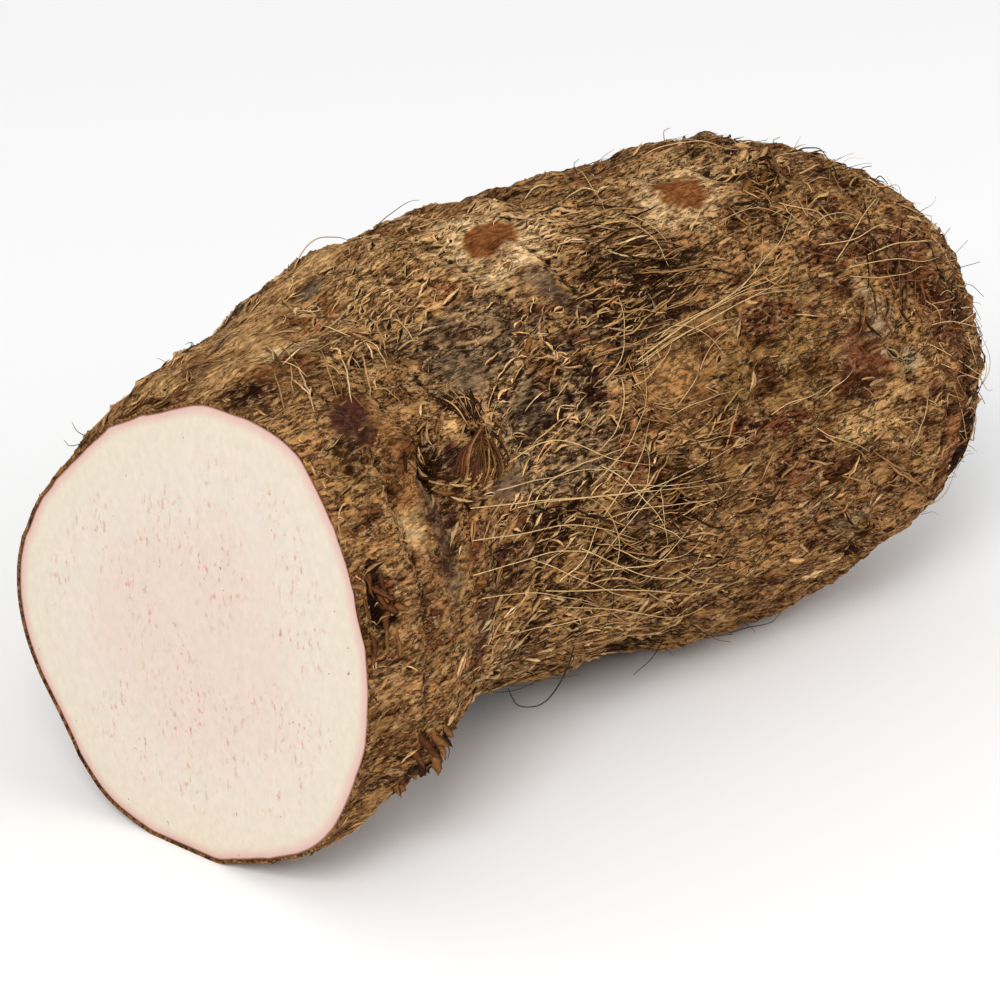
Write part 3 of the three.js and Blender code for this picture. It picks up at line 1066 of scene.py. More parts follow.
@dataclass
class Bark:
    """The corm's outer body: bark all round, and the thin edge of the skin at the cut."""

    shape: CormShape
    pattern: BarkPattern
    columns: int = 400
    rows: int = 236
    view_angle: float = math.radians(146)
    crowding: float = 0.22     # how much closer the columns stand on the side that shows
    skin: float = 0.55         # thickness of the skin at the cut
    recess: float = 3.0        # how deep the flesh sits in the skin
    bend_size: float = 14.0    # the plates and threads wind by this much, over stretches of this size
    bend_reach: tuple[float, float, float] = (3.0, 2.2, 2.2)
    plate_size: tuple[float, float, float] = (6.5, 2.9, 2.9)
    plate_height: float = 0.55
    thread_size: tuple[float, float, float] = (7, 1.5, 1.5)
    thread_height: float = 0.42
    crumb_size: tuple[float, float, float] = (4.2, 1.1, 1.1)
    crumb_height: float = 0.24
    # how bright the painted highlight along the ring crests is, as a share of tan
    crest_highlight: float = 1.1
    grid_row: Array = field(init=False)
    grid_angle: Array = field(init=False)
    points: Array = field(init=False)
    normals: Array = field(init=False)
    painted: dict = field(init=False)

    def build(self) -> Piece:
        """Builds the bark from a sphere whose rings become the rows of the corm.

        Returns:
            The bark.
        """
        self._lay_grid()
        obj = new_primitive(bpy.ops.mesh.primitive_uv_sphere_add, "corm_bark", segments=self.columns,
                            ring_count=self.rows + 5, radius=1)
        count = len(obj.data.vertices)
        start = np.empty(count * 3, np.float32)
        obj.data.vertices.foreach_get("co", start)
        start = start.reshape(-1, 3)
        ring = np.round(np.arccos(np.clip(-start[:, 2], -1, 1)) / math.pi * (self.rows + 5)).astype(int)
        turn = np.arctan2(start[:, 1], start[:, 0]) % FULL_TURN
        column = np.round(turn / FULL_TURN * self.columns).astype(int) % self.columns
        rows = self._all_rows()
        place_mesh(obj, rows["points"][ring, column])
        for name in ("cork", "skin", "cover", "smooth", "depth"):
            paint(obj.data, name, rows[name][ring, column])
        bpy.ops.object.shade_smooth_by_angle(angle=math.radians(60))
        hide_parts(NODE)
        return settle(obj, BarkFinish().make())

    def _lay_grid(self) -> None:
        """Works out the rows, columns, points, normals and paint of the bark."""
        shape = self.shape
        sample = shape.length * np.sin(np.linspace(0, 1, 900) * math.pi / 2)
        radius = shape.radius_at(sample)
        walked = np.concatenate([[0], np.cumsum(np.hypot(np.diff(sample), np.diff(radius)))])
        self.grid_row = np.interp(np.linspace(0, walked[-1], self.rows + 1)[:-1], walked, sample)
        turn = np.arange(self.columns) / self.columns * FULL_TURN
        self.grid_angle = turn - self.crowding * np.sin(turn - self.view_angle)
        row, angle = np.meshgrid(self.grid_row, self.grid_angle, indexing="ij")
        angle = angle % FULL_TURN
        plain = shape.surface(row, angle)
        self.painted = self.pattern.read(row, angle, plain)
        extra, depth = self._fine_relief(row, angle, plain)
        # depth is painted shade: it darkens the bark's colour in crevices, in hollows and behind the
        # rings
        self.painted["depth"] = depth
        self.points = shape.surface(row, angle, extra)
        along = np.gradient(self.points, axis=0)
        ahead, behind = np.roll(self.points, -1, 1), np.roll(self.points, 1, 1)
        normal = np.cross(ahead - behind, along)
        self.normals = normal / np.maximum(np.linalg.norm(normal, axis=-1, keepdims=True), 1e-9)

    def _fine_relief(self, row: Array, angle: Array, plain: Array) -> tuple[Array, Array]:
        """Works out the cork plates, threads and crevices that the solid is too coarse for.

        Args:
            row: distances from the cut.
            angle: angles in radians.
            plain: points of the solid's own form.

        Returns:
            Height over that form, and how deep in a crevice or hollow each place is, from 0 to 1, which
            is painted as shade.
        """
        bend = [fractal(plain, (self.bend_size,) * 3, 2, seed) for seed in (1.3, 5.1, 9.7)]
        bent = plain + np.stack(bend, -1) * np.array(self.bend_reach)
        plates = smoothstep(cell_edges(bent, self.plate_size, 2.2), 0.02, 0.3)
        threads = fractal(bent, self.thread_size, 3, 6.4)
        crumbs = fractal(bent, self.crumb_size, 3, 4.9)
        rough = (1 - 0.85 * self.painted["smooth"]) * (0.3 + 0.7 * smoothstep(row, 0, 5))
        plate = self.plate_height * (plates - 0.75)
        extra = rough * (plate + self.thread_height * threads + self.crumb_height * crumbs)
        # crevice and hollows are painted shade, between the plates and in the hollows of the form
        crevice = (1 - plates) * smoothstep(-threads, -0.35, 0.3)
        hollows = np.clip(-self.shape.form_relief(row, angle) / 2.2, 0, 1)
        foot, crest = np.zeros_like(row), np.zeros_like(row)
        torn = 1.1 * fractal(plain, (5, 4, 4), 2, 7.7)
        for ring in self.shape.rings:
            clear = 1 if ring < 100 else 0.35
            foot = np.maximum(foot, clear * np.exp(-(((row + torn - ring - 2.2) / 1.1) ** 2)))
            crest = np.maximum(crest, np.exp(-(((row + torn - ring + 0.4) / 1.5) ** 2)))
        # painted highlight: the crest of each ring is painted pale tan, opposite the painted shadow at
        # its foot
        crest *= 0.45 * rough * smoothstep(crumbs, -0.3, 0.3)
        pale = np.array(TAN.value) * self.crest_highlight
        for name in ("cork", "skin"):
            self.painted[name] += (pale - self.painted[name]) * crest[..., None]
        shadow = 0.8 * foot * rough * smoothstep(threads + crumbs, -0.4, 0.3)
        depth = np.clip(0.6 * crevice * rough + 0.9 * hollows + shadow, 0, 1)
        return np.where(row < 0.3, np.maximum(extra, 0), extra), depth

    def _all_rows(self) -> dict[str, Array]:
        """Adds the skin's edge at the cut and the two poles to the rows of the bark.

        Returns:
            Points and paint, by ring and column, from the cut's middle to the crown's.
        """
        shape = self.shape
        rim = self.points[:1].copy()
        centre = np.array([-shape.middle[0], -shape.middle[1], shape.height_at(0.0) - shape.floor])
        out = rim - centre
        reach = np.linalg.norm(out, axis=-1, keepdims=True)
        inner = centre + out * (reach - self.skin) / reach
        deep = inner + np.array([self.recess, 0, 0])
        floor_ring = centre + (inner - centre) * 0.5 + np.array([self.recess, 0, 0])
        floor_pole = np.broadcast_to(centre + np.array([self.recess, 0, 0]), rim.shape)
        tip = np.array([shape.length - shape.middle[0], shape.side_at(shape.length) - shape.middle[1],
                        shape.height_at(shape.length) - shape.floor])
        made = {"points": np.concatenate([floor_pole, floor_ring, deep, inner, inner * 0.5 + rim * 0.5,
                                          self.points, np.broadcast_to(tip, rim.shape)])}
        for name, values in self.painted.items():
            first, last = values[:1], values[-1:]
            made[name] = np.concatenate([first] * 5 + [values, last])
        made["skin"][3:5] = made["cork"][3:5] = np.array(BROWN.value)
        made["depth"][3:5] = 0
        return made

    def place(self, row: Array, angle: Array) -> tuple[Array, Array]:
        """Gives points of the finished bark in millimetres, and its outward normals there."""
        i, j = self._index(row, angle)
        return self._read(self.points, i, j), self._unit(self._read(self.normals, i, j))

    def colour(self, name: str, row: Array, angle: Array) -> Array:
        """Reads one of the bark's painted values at places on it."""
        return self._read(self.painted[name], *self._index(row, angle))

    def _index(self, row: Array, angle: Array) -> tuple[Array, Array]:
        """Turns places into rows and columns of the grid, with fractions.

        Args:
            row: distances from the cut.
            angle: angles in radians.

        Returns:
            The rows and the columns.
        """
        i = np.interp(row, self.grid_row, np.arange(self.rows))
        low = np.floor((angle - self.grid_angle[0]) / FULL_TURN)
        wrapped = angle - low * FULL_TURN
        columns = np.append(self.grid_angle, self.grid_angle[0] + FULL_TURN)
        return i, np.interp(wrapped, columns, np.arange(self.columns + 1))

    def _read(self, values: Array, i: Array, j: Array) -> Array:
        """Reads a grid between its rows and columns.

        Args:
            values: the grid, with one number or three at each place.
            i: the rows, with fractions.
            j: the columns, with fractions.

        Returns:
            The values there.
        """
        top = np.minimum(np.floor(i).astype(int), self.rows - 2)
        left = np.floor(j).astype(int) % self.columns
        s, t = i - top, j - np.floor(j)
        if values.ndim == 3:
            s, t = s[..., None], t[..., None]
        right = (left + 1) % self.columns
        near = values[top, left] * (1 - t) + values[top, right] * t
        far = values[top + 1, left] * (1 - t) + values[top + 1, right] * t
        return near * (1 - s) + far * s

    @staticmethod
    def _unit(vectors: Array) -> Array:
        """Scales vectors to length 1."""
        return vectors / np.maximum(np.linalg.norm(vectors, axis=-1, keepdims=True), 1e-9)


@dataclass
class CutFlesh:
    """The pale flesh that fills the skin at the cut."""

    shape: CormShape
    bark: Bark
    sides: int = 240
    rings: int = 26
    gap: float = 0.02          # between the flesh and the skin
    knife_marks: float = 0.09  # heights of the cut's fine lines and of its slow waves
    waves: float = 0.16
    sunk: float = 0.25         # how far its edge lies behind the skin's

    def build(self) -> Piece:
        """Builds the flesh from a disc that is inset ring by ring and drawn to a thick slice.

        Returns:
            The flesh.
        """
        obj = new_primitive(bpy.ops.mesh.primitive_circle_add, "cut_flesh", vertices=self.sides,
                            radius=1, fill_type="NGON")
        bpy.ops.object.mode_set(mode="EDIT")
        bpy.ops.mesh.select_mode(type="FACE")
        bpy.ops.mesh.select_all(action="SELECT")
        bpy.ops.mesh.extrude_region_move(TRANSFORM_OT_translate={"value": (0, 0, 1)})
        for _ in range(self.rings):
            bpy.ops.mesh.inset(thickness=1 / (self.rings + 1))
        bpy.ops.mesh.poke()
        bpy.ops.object.mode_set(mode="OBJECT")
        self._shape(obj)
        bpy.ops.object.mode_set(mode="EDIT")
        bpy.ops.mesh.select_all(action="SELECT")
        bpy.ops.mesh.normals_make_consistent(inside=False)
        bpy.ops.object.mode_set(mode="OBJECT")
        bpy.ops.object.shade_smooth_by_angle(angle=math.radians(40))
        return settle(obj, FleshFinish().make())

    def _shape(self, obj: Piece) -> None:
        """Turns the disc to face the cut and gives it the corm's outline and the knife's marks.

        Args:
            obj: the disc, drawn to a slice.
        """
        start = np.empty(len(obj.data.vertices) * 3, np.float32)
        obj.data.vertices.foreach_get("co", start)
        start = start.reshape(-1, 3)
        angle = np.arctan2(start[:, 1], start[:, 0]) % FULL_TURN
        share = np.minimum(np.hypot(start[:, 0], start[:, 1]), 1)
        top = start[:, 2] > 0.5
        shape = self.shape
        rim, _ = self.bark.place(np.zeros_like(angle), angle)
        centre = np.array([-shape.middle[0], -shape.middle[1], shape.height_at(0.0) - shape.floor])
        out = rim - centre
        reach = np.linalg.norm(out, axis=-1, keepdims=True)
        edge = out * (reach - self.bark.skin - self.gap) / reach
        points = centre + edge * share[:, None]
        marks = fractal(points, (60, 2.4, 70), 3, 8.8) * self.knife_marks
        marks = marks + fractal(points, (60, 11, 14), 2, 2.1) * self.waves
        marks *= 1 - smoothstep(share, 0.93, 1.0)
        lip = self.sunk * smoothstep(share, 0.985, 1.0)
        points[:, 0] += np.where(top, marks + lip, self.bark.recess - self.gap)
        place_mesh(obj, points)
        paint(obj.data, "out", share.astype(float))


class StrandMould:
    """One strand, modelled once, from which shreds of cork and hairs are cast along their paths."""

    def __init__(self, sides: int, spans: int) -> None:
        """Models a unit strand: a prism cut across at even steps.

        Args:
            sides: how many sides its section has.
            spans: how many stretches it is cut into.
        """
        obj = new_primitive(bpy.ops.mesh.primitive_cylinder_add, "mould", vertices=sides, radius=1,
                            depth=1, end_fill_type="NGON")
        bpy.ops.object.mode_set(mode="EDIT")
        for k in range(1, spans):
            bpy.ops.mesh.select_all(action="SELECT")
            bpy.ops.mesh.bisect(plane_co=(0, 0, k / spans - 0.5), plane_no=(0, 0, 1))
        bpy.ops.object.mode_set(mode="OBJECT")
        co = np.array([v.co for v in obj.data.vertices])
        self.spans = spans
        self.station = np.round((co[:, 2] + 0.5) * spans).astype(int)
        self.across = co[:, 0]
        self.rise = co[:, 1]
        self.faces = [list(p.vertices) for p in obj.data.polygons]
        bpy.data.meshes.remove(obj.data)

    def cast(self, name: str, path: Array, up: Array, width: Array, height: Array,
             tint: Array) -> Piece:
        """Casts many strands as one piece.

        Args:
            name: the piece's name.
            path: points of each strand, in millimetres: strand, station, 3.
            up: directions away from the bark, in the same order.
            width: half width at each station.
            height: half height at each station.
            tint: one colour for each strand.

        Returns:
            The piece.
        """
        count = len(path)
        forward = np.gradient(path, axis=1)
        side = Bark._unit(np.cross(up, forward))
        up = Bark._unit(np.cross(forward, side))
        k = self.station
        points = path[:, k] + side[:, k] * (width[:, k] * self.across)[..., None]
        points = points + up[:, k] * (height[:, k] * self.rise)[..., None]
        points[..., 2] = np.maximum(points[..., 2], 0.02)
        each = points.shape[1]
        lengths = np.tile([len(f) for f in self.faces], count)
        corners = np.concatenate([np.array(f) for f in self.faces])
        corners = (corners[None] + (np.arange(count) * each)[:, None]).ravel()
        mesh = bpy.data.meshes.new(name)
        mesh.vertices.add(count * each)
        mesh.loops.add(len(corners))
        mesh.polygons.add(len(lengths))
        mesh.vertices.foreach_set("co", (points * METRES).astype(np.float32).ravel())
        mesh.loops.foreach_set("vertex_index", corners.astype(np.int32))
        starts = np.concatenate([[0], np.cumsum(lengths)[:-1]])
        mesh.polygons.foreach_set("loop_start", starts.astype(np.int32))
        mesh.polygons.foreach_set("use_smooth", np.ones(len(lengths), bool))
        mesh.update(calc_edges=True)
        paint(mesh, "tint", np.repeat(tint, each, axis=0))
        paint(mesh, "rise", np.tile(self.rise * 0.5 + 0.5, count))
        obj = bpy.data.objects.new(name, mesh)
        bpy.context.scene.collection.objects.link(obj)
        return obj


@dataclass
class CorkNet:
    """The raised net of pale cork: wavy shreds along the corm that meet in long meshes, each shred with a
    dark strip of painted shadow beside it.
    """

    bark: Bark
    step: float = 3.5          # length of a mesh's side along the corm
    pitch: float = 1.6         # half its width round the corm
    width: tuple[float, float] = (0.16, 0.5)
    height: tuple[float, float] = (0.2, 0.6)
    other_way: float = 0.35    # share of the shreds that lean down instead of up
    lip: float = 0.3           # how far the two lips of a torn edge stand from its middle
    wander: float = 2.5        # how far the net strays along the corm, and round it
    sway: float = 4.5
    seed: int = 5

    def build(self) -> list[Piece]:
        """Builds the net in two pieces, the side that shows and the side that is turned away.

        Returns:
            The pieces.
        """
        mould = StrandMould(3, 5)
        finish = StrandFinish("taro_cork", 0.03, (0.8, 0.95), 0.22).make()
        row, angle, keep_angle = self._edges()
        away = np.abs((keep_angle - self.bark.view_angle + math.pi) % FULL_TURN - math.pi)
        front = away < math.radians(95)
        made = []
        for name, part in (("cork_net_front", front), ("cork_net_back", ~front)):
            obj = self._cast(mould, name, row[part], angle[part])
            made.append(settle(obj, finish))
        return made

    def _edges(self) -> tuple[Array, Array, Array]:
        """Lays out the sides of the meshes, and leaves out those that the bark has lost.

        Returns:
            Rows and angles of the two ends of each side, and the angle of its middle.
        """
        draw = np.random.default_rng(self.seed)
        shape = self.bark.shape
        columns = 2 * round(FULL_TURN * GIRTH_RADIUS / self.pitch / 2)
        rows = int(197 / self.step)
        i, j = np.meshgrid(np.arange(rows), np.arange(columns), indexing="ij")
        row = 2.0 + (i + draw.uniform(-0.36, 0.36, i.shape)) * self.step
        angle = (j + draw.uniform(-0.5, 0.5, j.shape)) / columns * FULL_TURN
        bend = shape.relief(row, angle % FULL_TURN, 26, 18, 41)
        angle = angle + bend * self.sway / GIRTH_RADIUS
        row = row + self.wander * shape.relief(row, angle % FULL_TURN, 22, 16, 43)
        even = (i + j) % 2 == 0
        ends = []
        for turn in (-1, 1):
            first = even & (i < rows - 1)
            a, b = i[first], j[first]
            c = (b + turn) % columns
            wrap = np.where(b + turn >= columns, FULL_TURN, np.where(b + turn < 0, -FULL_TURN, 0))
            ends.append((row[a, b], angle[a, b], row[a + 1, c], angle[a + 1, c] + wrap))
        start_row, start_angle, end_row, end_angle = (np.concatenate(parts) for parts in zip(*ends))
        leaning = np.where(end_angle < start_angle, 1.0, self.other_way)
        middle_row, middle_angle = (start_row + end_row) / 2, (start_angle + end_angle) / 2
        cover = self.bark.colour("cover", middle_row, middle_angle)
        smooth = self.bark.colour("smooth", middle_row, middle_angle)
        chance = (0.34 + 0.2 * cover) * (1 - 0.95 * smoothstep(smooth, 0.2, 0.7)) * leaning
        chance = chance * (0.9 + 1.1 * shape.relief(middle_row, middle_angle % FULL_TURN, 12, 7, 47))
        banded = smoothstep(middle_row, 36, 50) * (1 - smoothstep(middle_row, 96, 112))
        chance = chance * (0.62 + 1.2 * banded)
        crowded = smoothstep(middle_row, 176, 197)
        chance = chance * (1 - 0.6 * crowded) * (1 - 0.4 * smoothstep(middle_row, 100, 125))
        kept = (draw.uniform(size=len(chance)) < chance) & (start_row > 0.8)
        rows_out = np.stack([start_row, end_row], -1)[kept]
        angles_out = np.stack([start_angle, end_angle], -1)[kept]
        return rows_out, angles_out, middle_angle[kept]

    def _cast(self, mould: StrandMould, name: str, row: Array, angle: Array) -> Piece:
        """Casts one piece of the net.

        Args:
            mould: the strand to cast.
            name: the piece's name.
            row: rows of the two ends of each shred.
            angle: angles of the two ends.

        Returns:
            The piece.
        """
        draw = np.random.default_rng(self.seed + len(name))
        count = len(row)
        share = np.linspace(0, 1, mould.spans + 1)
        over = draw.uniform(-0.12, 0.16, (count, 2))
        share = (0 - over[:, :1]) + share[None] * (1 + over[:, :1] + over[:, 1:])
        wave = draw.normal(0, 0.1, share.shape)
        wave = wave + draw.uniform(-0.14, 0.14, (count, 1)) * np.sin(share * math.pi)
        rows = row[:, :1] + (row[:, 1:] - row[:, :1]) * share
        angles = angle[:, :1] + (angle[:, 1:] - angle[:, :1]) * share + wave / GIRTH_RADIUS * 2.2
        rows = np.clip(rows, 0.3, self.bark.grid_row[-2])
        points, normals = self.bark.place(rows, angles)
        soften(points, 2)
        swell = np.sin(np.linspace(0, 1, mould.spans + 1) * math.pi)[None] ** 0.85
        swell = swell * draw.uniform(0.35, 1.3, (count, mould.spans + 1))
        size = draw.uniform(0, 1, (count, 1)) ** 1.1
        width = (self.width[0] + (self.width[1] - self.width[0]) * size) * np.maximum(swell, 0.12)
        height = (self.height[0] + (self.height[1] - self.height[0]) * size) * np.maximum(swell, 0.1)
        lift = np.where(draw.uniform(size=(count, 1)) < 0.1, draw.uniform(0.2, 0.7, (count, 1)), 0.0)
        lift = lift * np.linspace(0, 1, mould.spans + 1)[None] ** 2
        points = points + normals * (lift + 0.15 * height)[..., None]
        middle = mould.spans // 2
        base = self.bark.colour("cork", rows[:, middle], angles[:, middle])
        pale = draw.uniform(0, 1, (count, 1)) ** 1.3
        tint = base * (1 - 0.7 * pale) + np.array(PALE.value) * 0.7 * pale
        tint = tint * draw.uniform(0.75, 1.5, (count, 1))
        spread = swell ** 0.5 * self.lip * draw.uniform(0.7, 1.3, (count, 1))
        spread = spread * (0.6 + width / self.width[1])
        ahead = Bark._unit(np.gradient(points, axis=1))
        across = Bark._unit(np.cross(normals, ahead)) * spread[..., None]
        second = draw.uniform(size=count) < 0.25
        # a dark strip at the bark beside each shred is painted shadow under its edge
        dark = np.full((count, 3), DARK.value) * 0.6
        shadow_strip = points - across * 0.5 - normals * 0.1
        return mould.cast(
            name, np.concatenate([points + across, (points - across * 1.6)[second], shadow_strip]),
            np.concatenate([normals, normals[second], normals]),
            np.concatenate([width, width[second] * 0.7, spread]),
            np.concatenate([height, height[second] * 0.8, 0.16 * swell]),
            np.concatenate([tint, tint[second] * 0.8, dark]))


@dataclass
class CorkCrumbs:
    """Small loose scraps of cork between the meshes, lying every way but mostly along the corm."""

    bark: Bark
    count: int = 9000
    length: tuple[float, float] = (0.5, 2.0)
    width: tuple[float, float] = (0.08, 0.28)
    height: tuple[float, float] = (0.1, 0.3)
    front_share: float = 0.6
    seed: int = 23

    def build(self) -> list[Piece]:
        """Builds the scraps in two pieces.

        Returns:
            The pieces.
        """
        mould = StrandMould(3, 2)
        finish = StrandFinish("taro_crumbs", 0.03, (0.82, 0.96), 0.3).make()
        draw = np.random.default_rng(self.seed)
        made = []
        for name, low, high in (("cork_crumbs_front", -95, 95), ("cork_crumbs_back", 95, 265)):
            count = int(self.count * (self.front_share if low < 0 else 1 - self.front_share))
            row = draw.uniform(1, 203, count)
            angle = self.bark.view_angle + np.radians(draw.uniform(low, high, count))
            cover = self.bark.colour("cover", row, angle)
            smooth = self.bark.colour("smooth", row, angle)
            radius = self.bark.shape.radius_at(row) / GIRTH_RADIUS
            chance = (0.2 + 0.8 * cover) * (1 - 0.9 * smooth) * radius
            kept = draw.uniform(size=count) < chance
            made.append(settle(self._cast(mould, name, row[kept], angle[kept], draw), finish))
        return made

    def _cast(self, mould: StrandMould, name: str, row: Array, angle: Array,
              draw: Draws) -> Piece:
        """Casts one piece of scraps.

        Args:
            mould: the strand to cast.
            name: the piece's name.
            row: distances from the cut.
            angle: angles in radians.
            draw: the random draws.

        Returns:
            The piece.
        """
        count = len(row)
        heading = draw.normal(0, 0.6, (count, 1))
        length = draw.uniform(*self.length, (count, 1))
        share = np.linspace(-0.5, 0.5, mould.spans + 1)[None]
        radius = np.maximum(self.bark.shape.radius_at(row), 6)[:, None]
        rows = np.clip(row[:, None] + np.cos(heading) * length * share, 0.3, self.bark.grid_row[-2])
        angles = angle[:, None] + np.sin(heading) * length * share / radius
        points, normals = self.bark.place(rows, angles)
        swell = np.array([0.25, 1.0, 0.25])[None]
        width = draw.uniform(*self.width, (count, 1)) * swell
        height = draw.uniform(*self.height, (count, 1)) * swell
        tilt = draw.uniform(-0.25, 0.35, (count, 1)) * np.array([-1, 0, 1])[None]
        points = points + normals * (0.2 * height + np.maximum(tilt, 0))[..., None]
        base = self.bark.colour("cork", row, angle)
        pale = draw.uniform(0, 1, (count, 1)) ** 2
        tint = base * (1 - 0.5 * pale) + np.array(PALE.value) * 0.5 * pale
        tint = tint * draw.uniform(0.4, 1.0, (count, 1))
        return mould.cast(name, points, normals, width, height, tint)


@dataclass(frozen=True)
class Hair:
    """One hair that the photograph shows on the bark: where it passes, its arch and its look."""

    route: tuple
    arch: float = 0.8
    thickness: float = 0.17
    tone: Tone = STRAW


@dataclass(frozen=True)
class FreeHair:
    """One hair that the photograph shows against the background: where it passes, and its look."""

    route: tuple
    thickness: float
    tone: Tone


@dataclass
class RootHairs:
    """Root hairs and leaf-base fibres that lie on the bark or stand out of it."""

    bark: Bark
    view: PhotoView
    spans: int = 18
    seed: int = 9
    # the beds of the coat: how many hairs, where they start and how far that strays, along the corm in
    # millimetres and round it in degrees, and how long they are
    beds: tuple = (
        (22, 78, 16, 190, 14, 20), (14, 150, 20, 130, 14, 15), (24, 180, 8, 150, 40, 9),
        (16, 92, 10, 152, 12, 18), (30, 110, 50, 300, 50, 18), (16, 60, 30, 20, 40, 14),
        (16, 150, 20, 40, 30, 14), (8, 25, 12, 90, 30, 6),
    )
    fuzz: int = 220
    top_angle: float = 92      # the coat is thin on the top of the corm, in degrees
    top_width: float = 24
    shown: tuple = (
        # the long bundle that fans out to the upper right
        Hair(((637, 360), (672, 333), (716, 306), (760, 285), (798, 268))),
        Hair(((640, 364), (680, 338), (722, 312), (768, 292), (792, 262)), 1.1),
        Hair(((634, 366), (668, 344), (712, 318), (756, 296), (800, 290)), 0.7),
        Hair(((642, 357), (684, 326), (728, 298), (757, 270), (762, 238)), 1.4),
        Hair(((650, 345), (700, 318), (742, 296), (790, 286)), 0.9),
        Hair(((655, 337), (708, 310), (745, 288), (782, 270)), 1.2),
        Hair(((738, 292), (762, 262), (782, 236), (792, 212)), 1.6),
        # the long arcs below the side bud
        Hair(((503, 465), (524, 449), (554, 439), (592, 452), (624, 462), (653, 465)), 1.6, 0.2),
        Hair(((470, 509), (520, 503), (572, 497), (623, 493), (672, 476), (715, 455), (750, 437)),
             1.3, 0.2),
        Hair(((516, 508), (560, 500), (612, 492), (672, 486), (750, 477)), 1.2),
        Hair(((470, 541), (500, 536), (534, 526), (572, 525), (605, 528), (638, 540)), 1.4, 0.2),
        Hair(((471, 576), (508, 562), (544, 551), (580, 549), (606, 560), (628, 572)), 1.5, 0.2),
        Hair(((580, 549), (610, 562), (645, 572), (682, 572), (702, 544)), 1.8, 0.2),
        Hair(((513, 633), (540, 622), (567, 615), (605, 611), (643, 600)), 1.5, 0.2),
        Hair(((620, 378), (619, 402), (613, 427), (606, 441), (595, 452)), 1.2, 0.2),
        Hair(((659, 488), (658, 512), (661, 534)), 0.8), Hair(((648, 523), (668, 530), (689, 540)), 0.9),
        Hair(((530, 560), (570, 572), (612, 590), (650, 596)), 1.6),
        Hair(((545, 590), (590, 585), (640, 583), (690, 590), (728, 580)), 1.8, 0.2),
        Hair(((560, 605), (610, 602), (668, 610), (712, 600)), 1.6),
        Hair(((600, 520), (640, 505), (690, 500), (735, 492)), 1.3),
        Hair(((495, 490), (540, 478), (585, 470), (640, 472)), 1.4),
        Hair(((480, 598), (520, 590), (565, 592), (600, 604)), 1.4),
        Hair(((610, 547), (640, 556), (676, 552), (706, 530)), 1.5),
        # the upper right
        Hair(((818, 246), (850, 244), (880, 230), (912, 236)), 1.4, 0.2),
        Hair(((835, 262), (868, 256), (900, 242), (925, 245)), 1.5, 0.2),
        Hair(((848, 268), (880, 262), (915, 262), (938, 258)), 1.2),
        Hair(((866, 194), (874, 212), (886, 226), (905, 242)), 1.3),
        Hair(((930, 325), (948, 322), (962, 328), (974, 322)), 1.0),
        Hair(((929, 336), (946, 334), (962, 338), (976, 334)), 0.9),
        Hair(((928, 345), (946, 343), (968, 349)), 0.9), Hair(((932, 361), (950, 352), (968, 346)), 1.1),
        Hair(((924, 300), (934, 312), (938, 326)), 0.8), Hair(((580, 178), (592, 196), (606, 214)), 1.1),
        Hair(((630, 217), (650, 232), (668, 248)), 0.9),
        Hair(((690, 232), (697, 218), (702, 208)), 0.9, 0.2),
        Hair(((782, 206), (790, 220), (802, 228)), 0.8), Hair(((822, 396), (838, 382), (850, 370)), 0.9),
        Hair(((815, 428), (842, 440), (868, 452)), 0.9), Hair(((770, 415), (800, 398), (832, 384)), 1.0),
        Hair(((590, 230), (628, 226), (655, 246), (668, 268)), 1.1, 0.2),
        # dark wires
        Hair(((380, 352), (396, 356), (412, 360)), 0.9, 0.24, BLACK),
        Hair(((556, 352), (600, 344), (655, 334), (700, 322)), 0.5, 0.24, BLACK),
        Hair(((580, 365), (622, 352), (668, 340)), 0.5, 0.24, BLACK),
        Hair(((640, 372), (668, 356), (704, 340)), 0.6, 0.26, BLACK),
    )

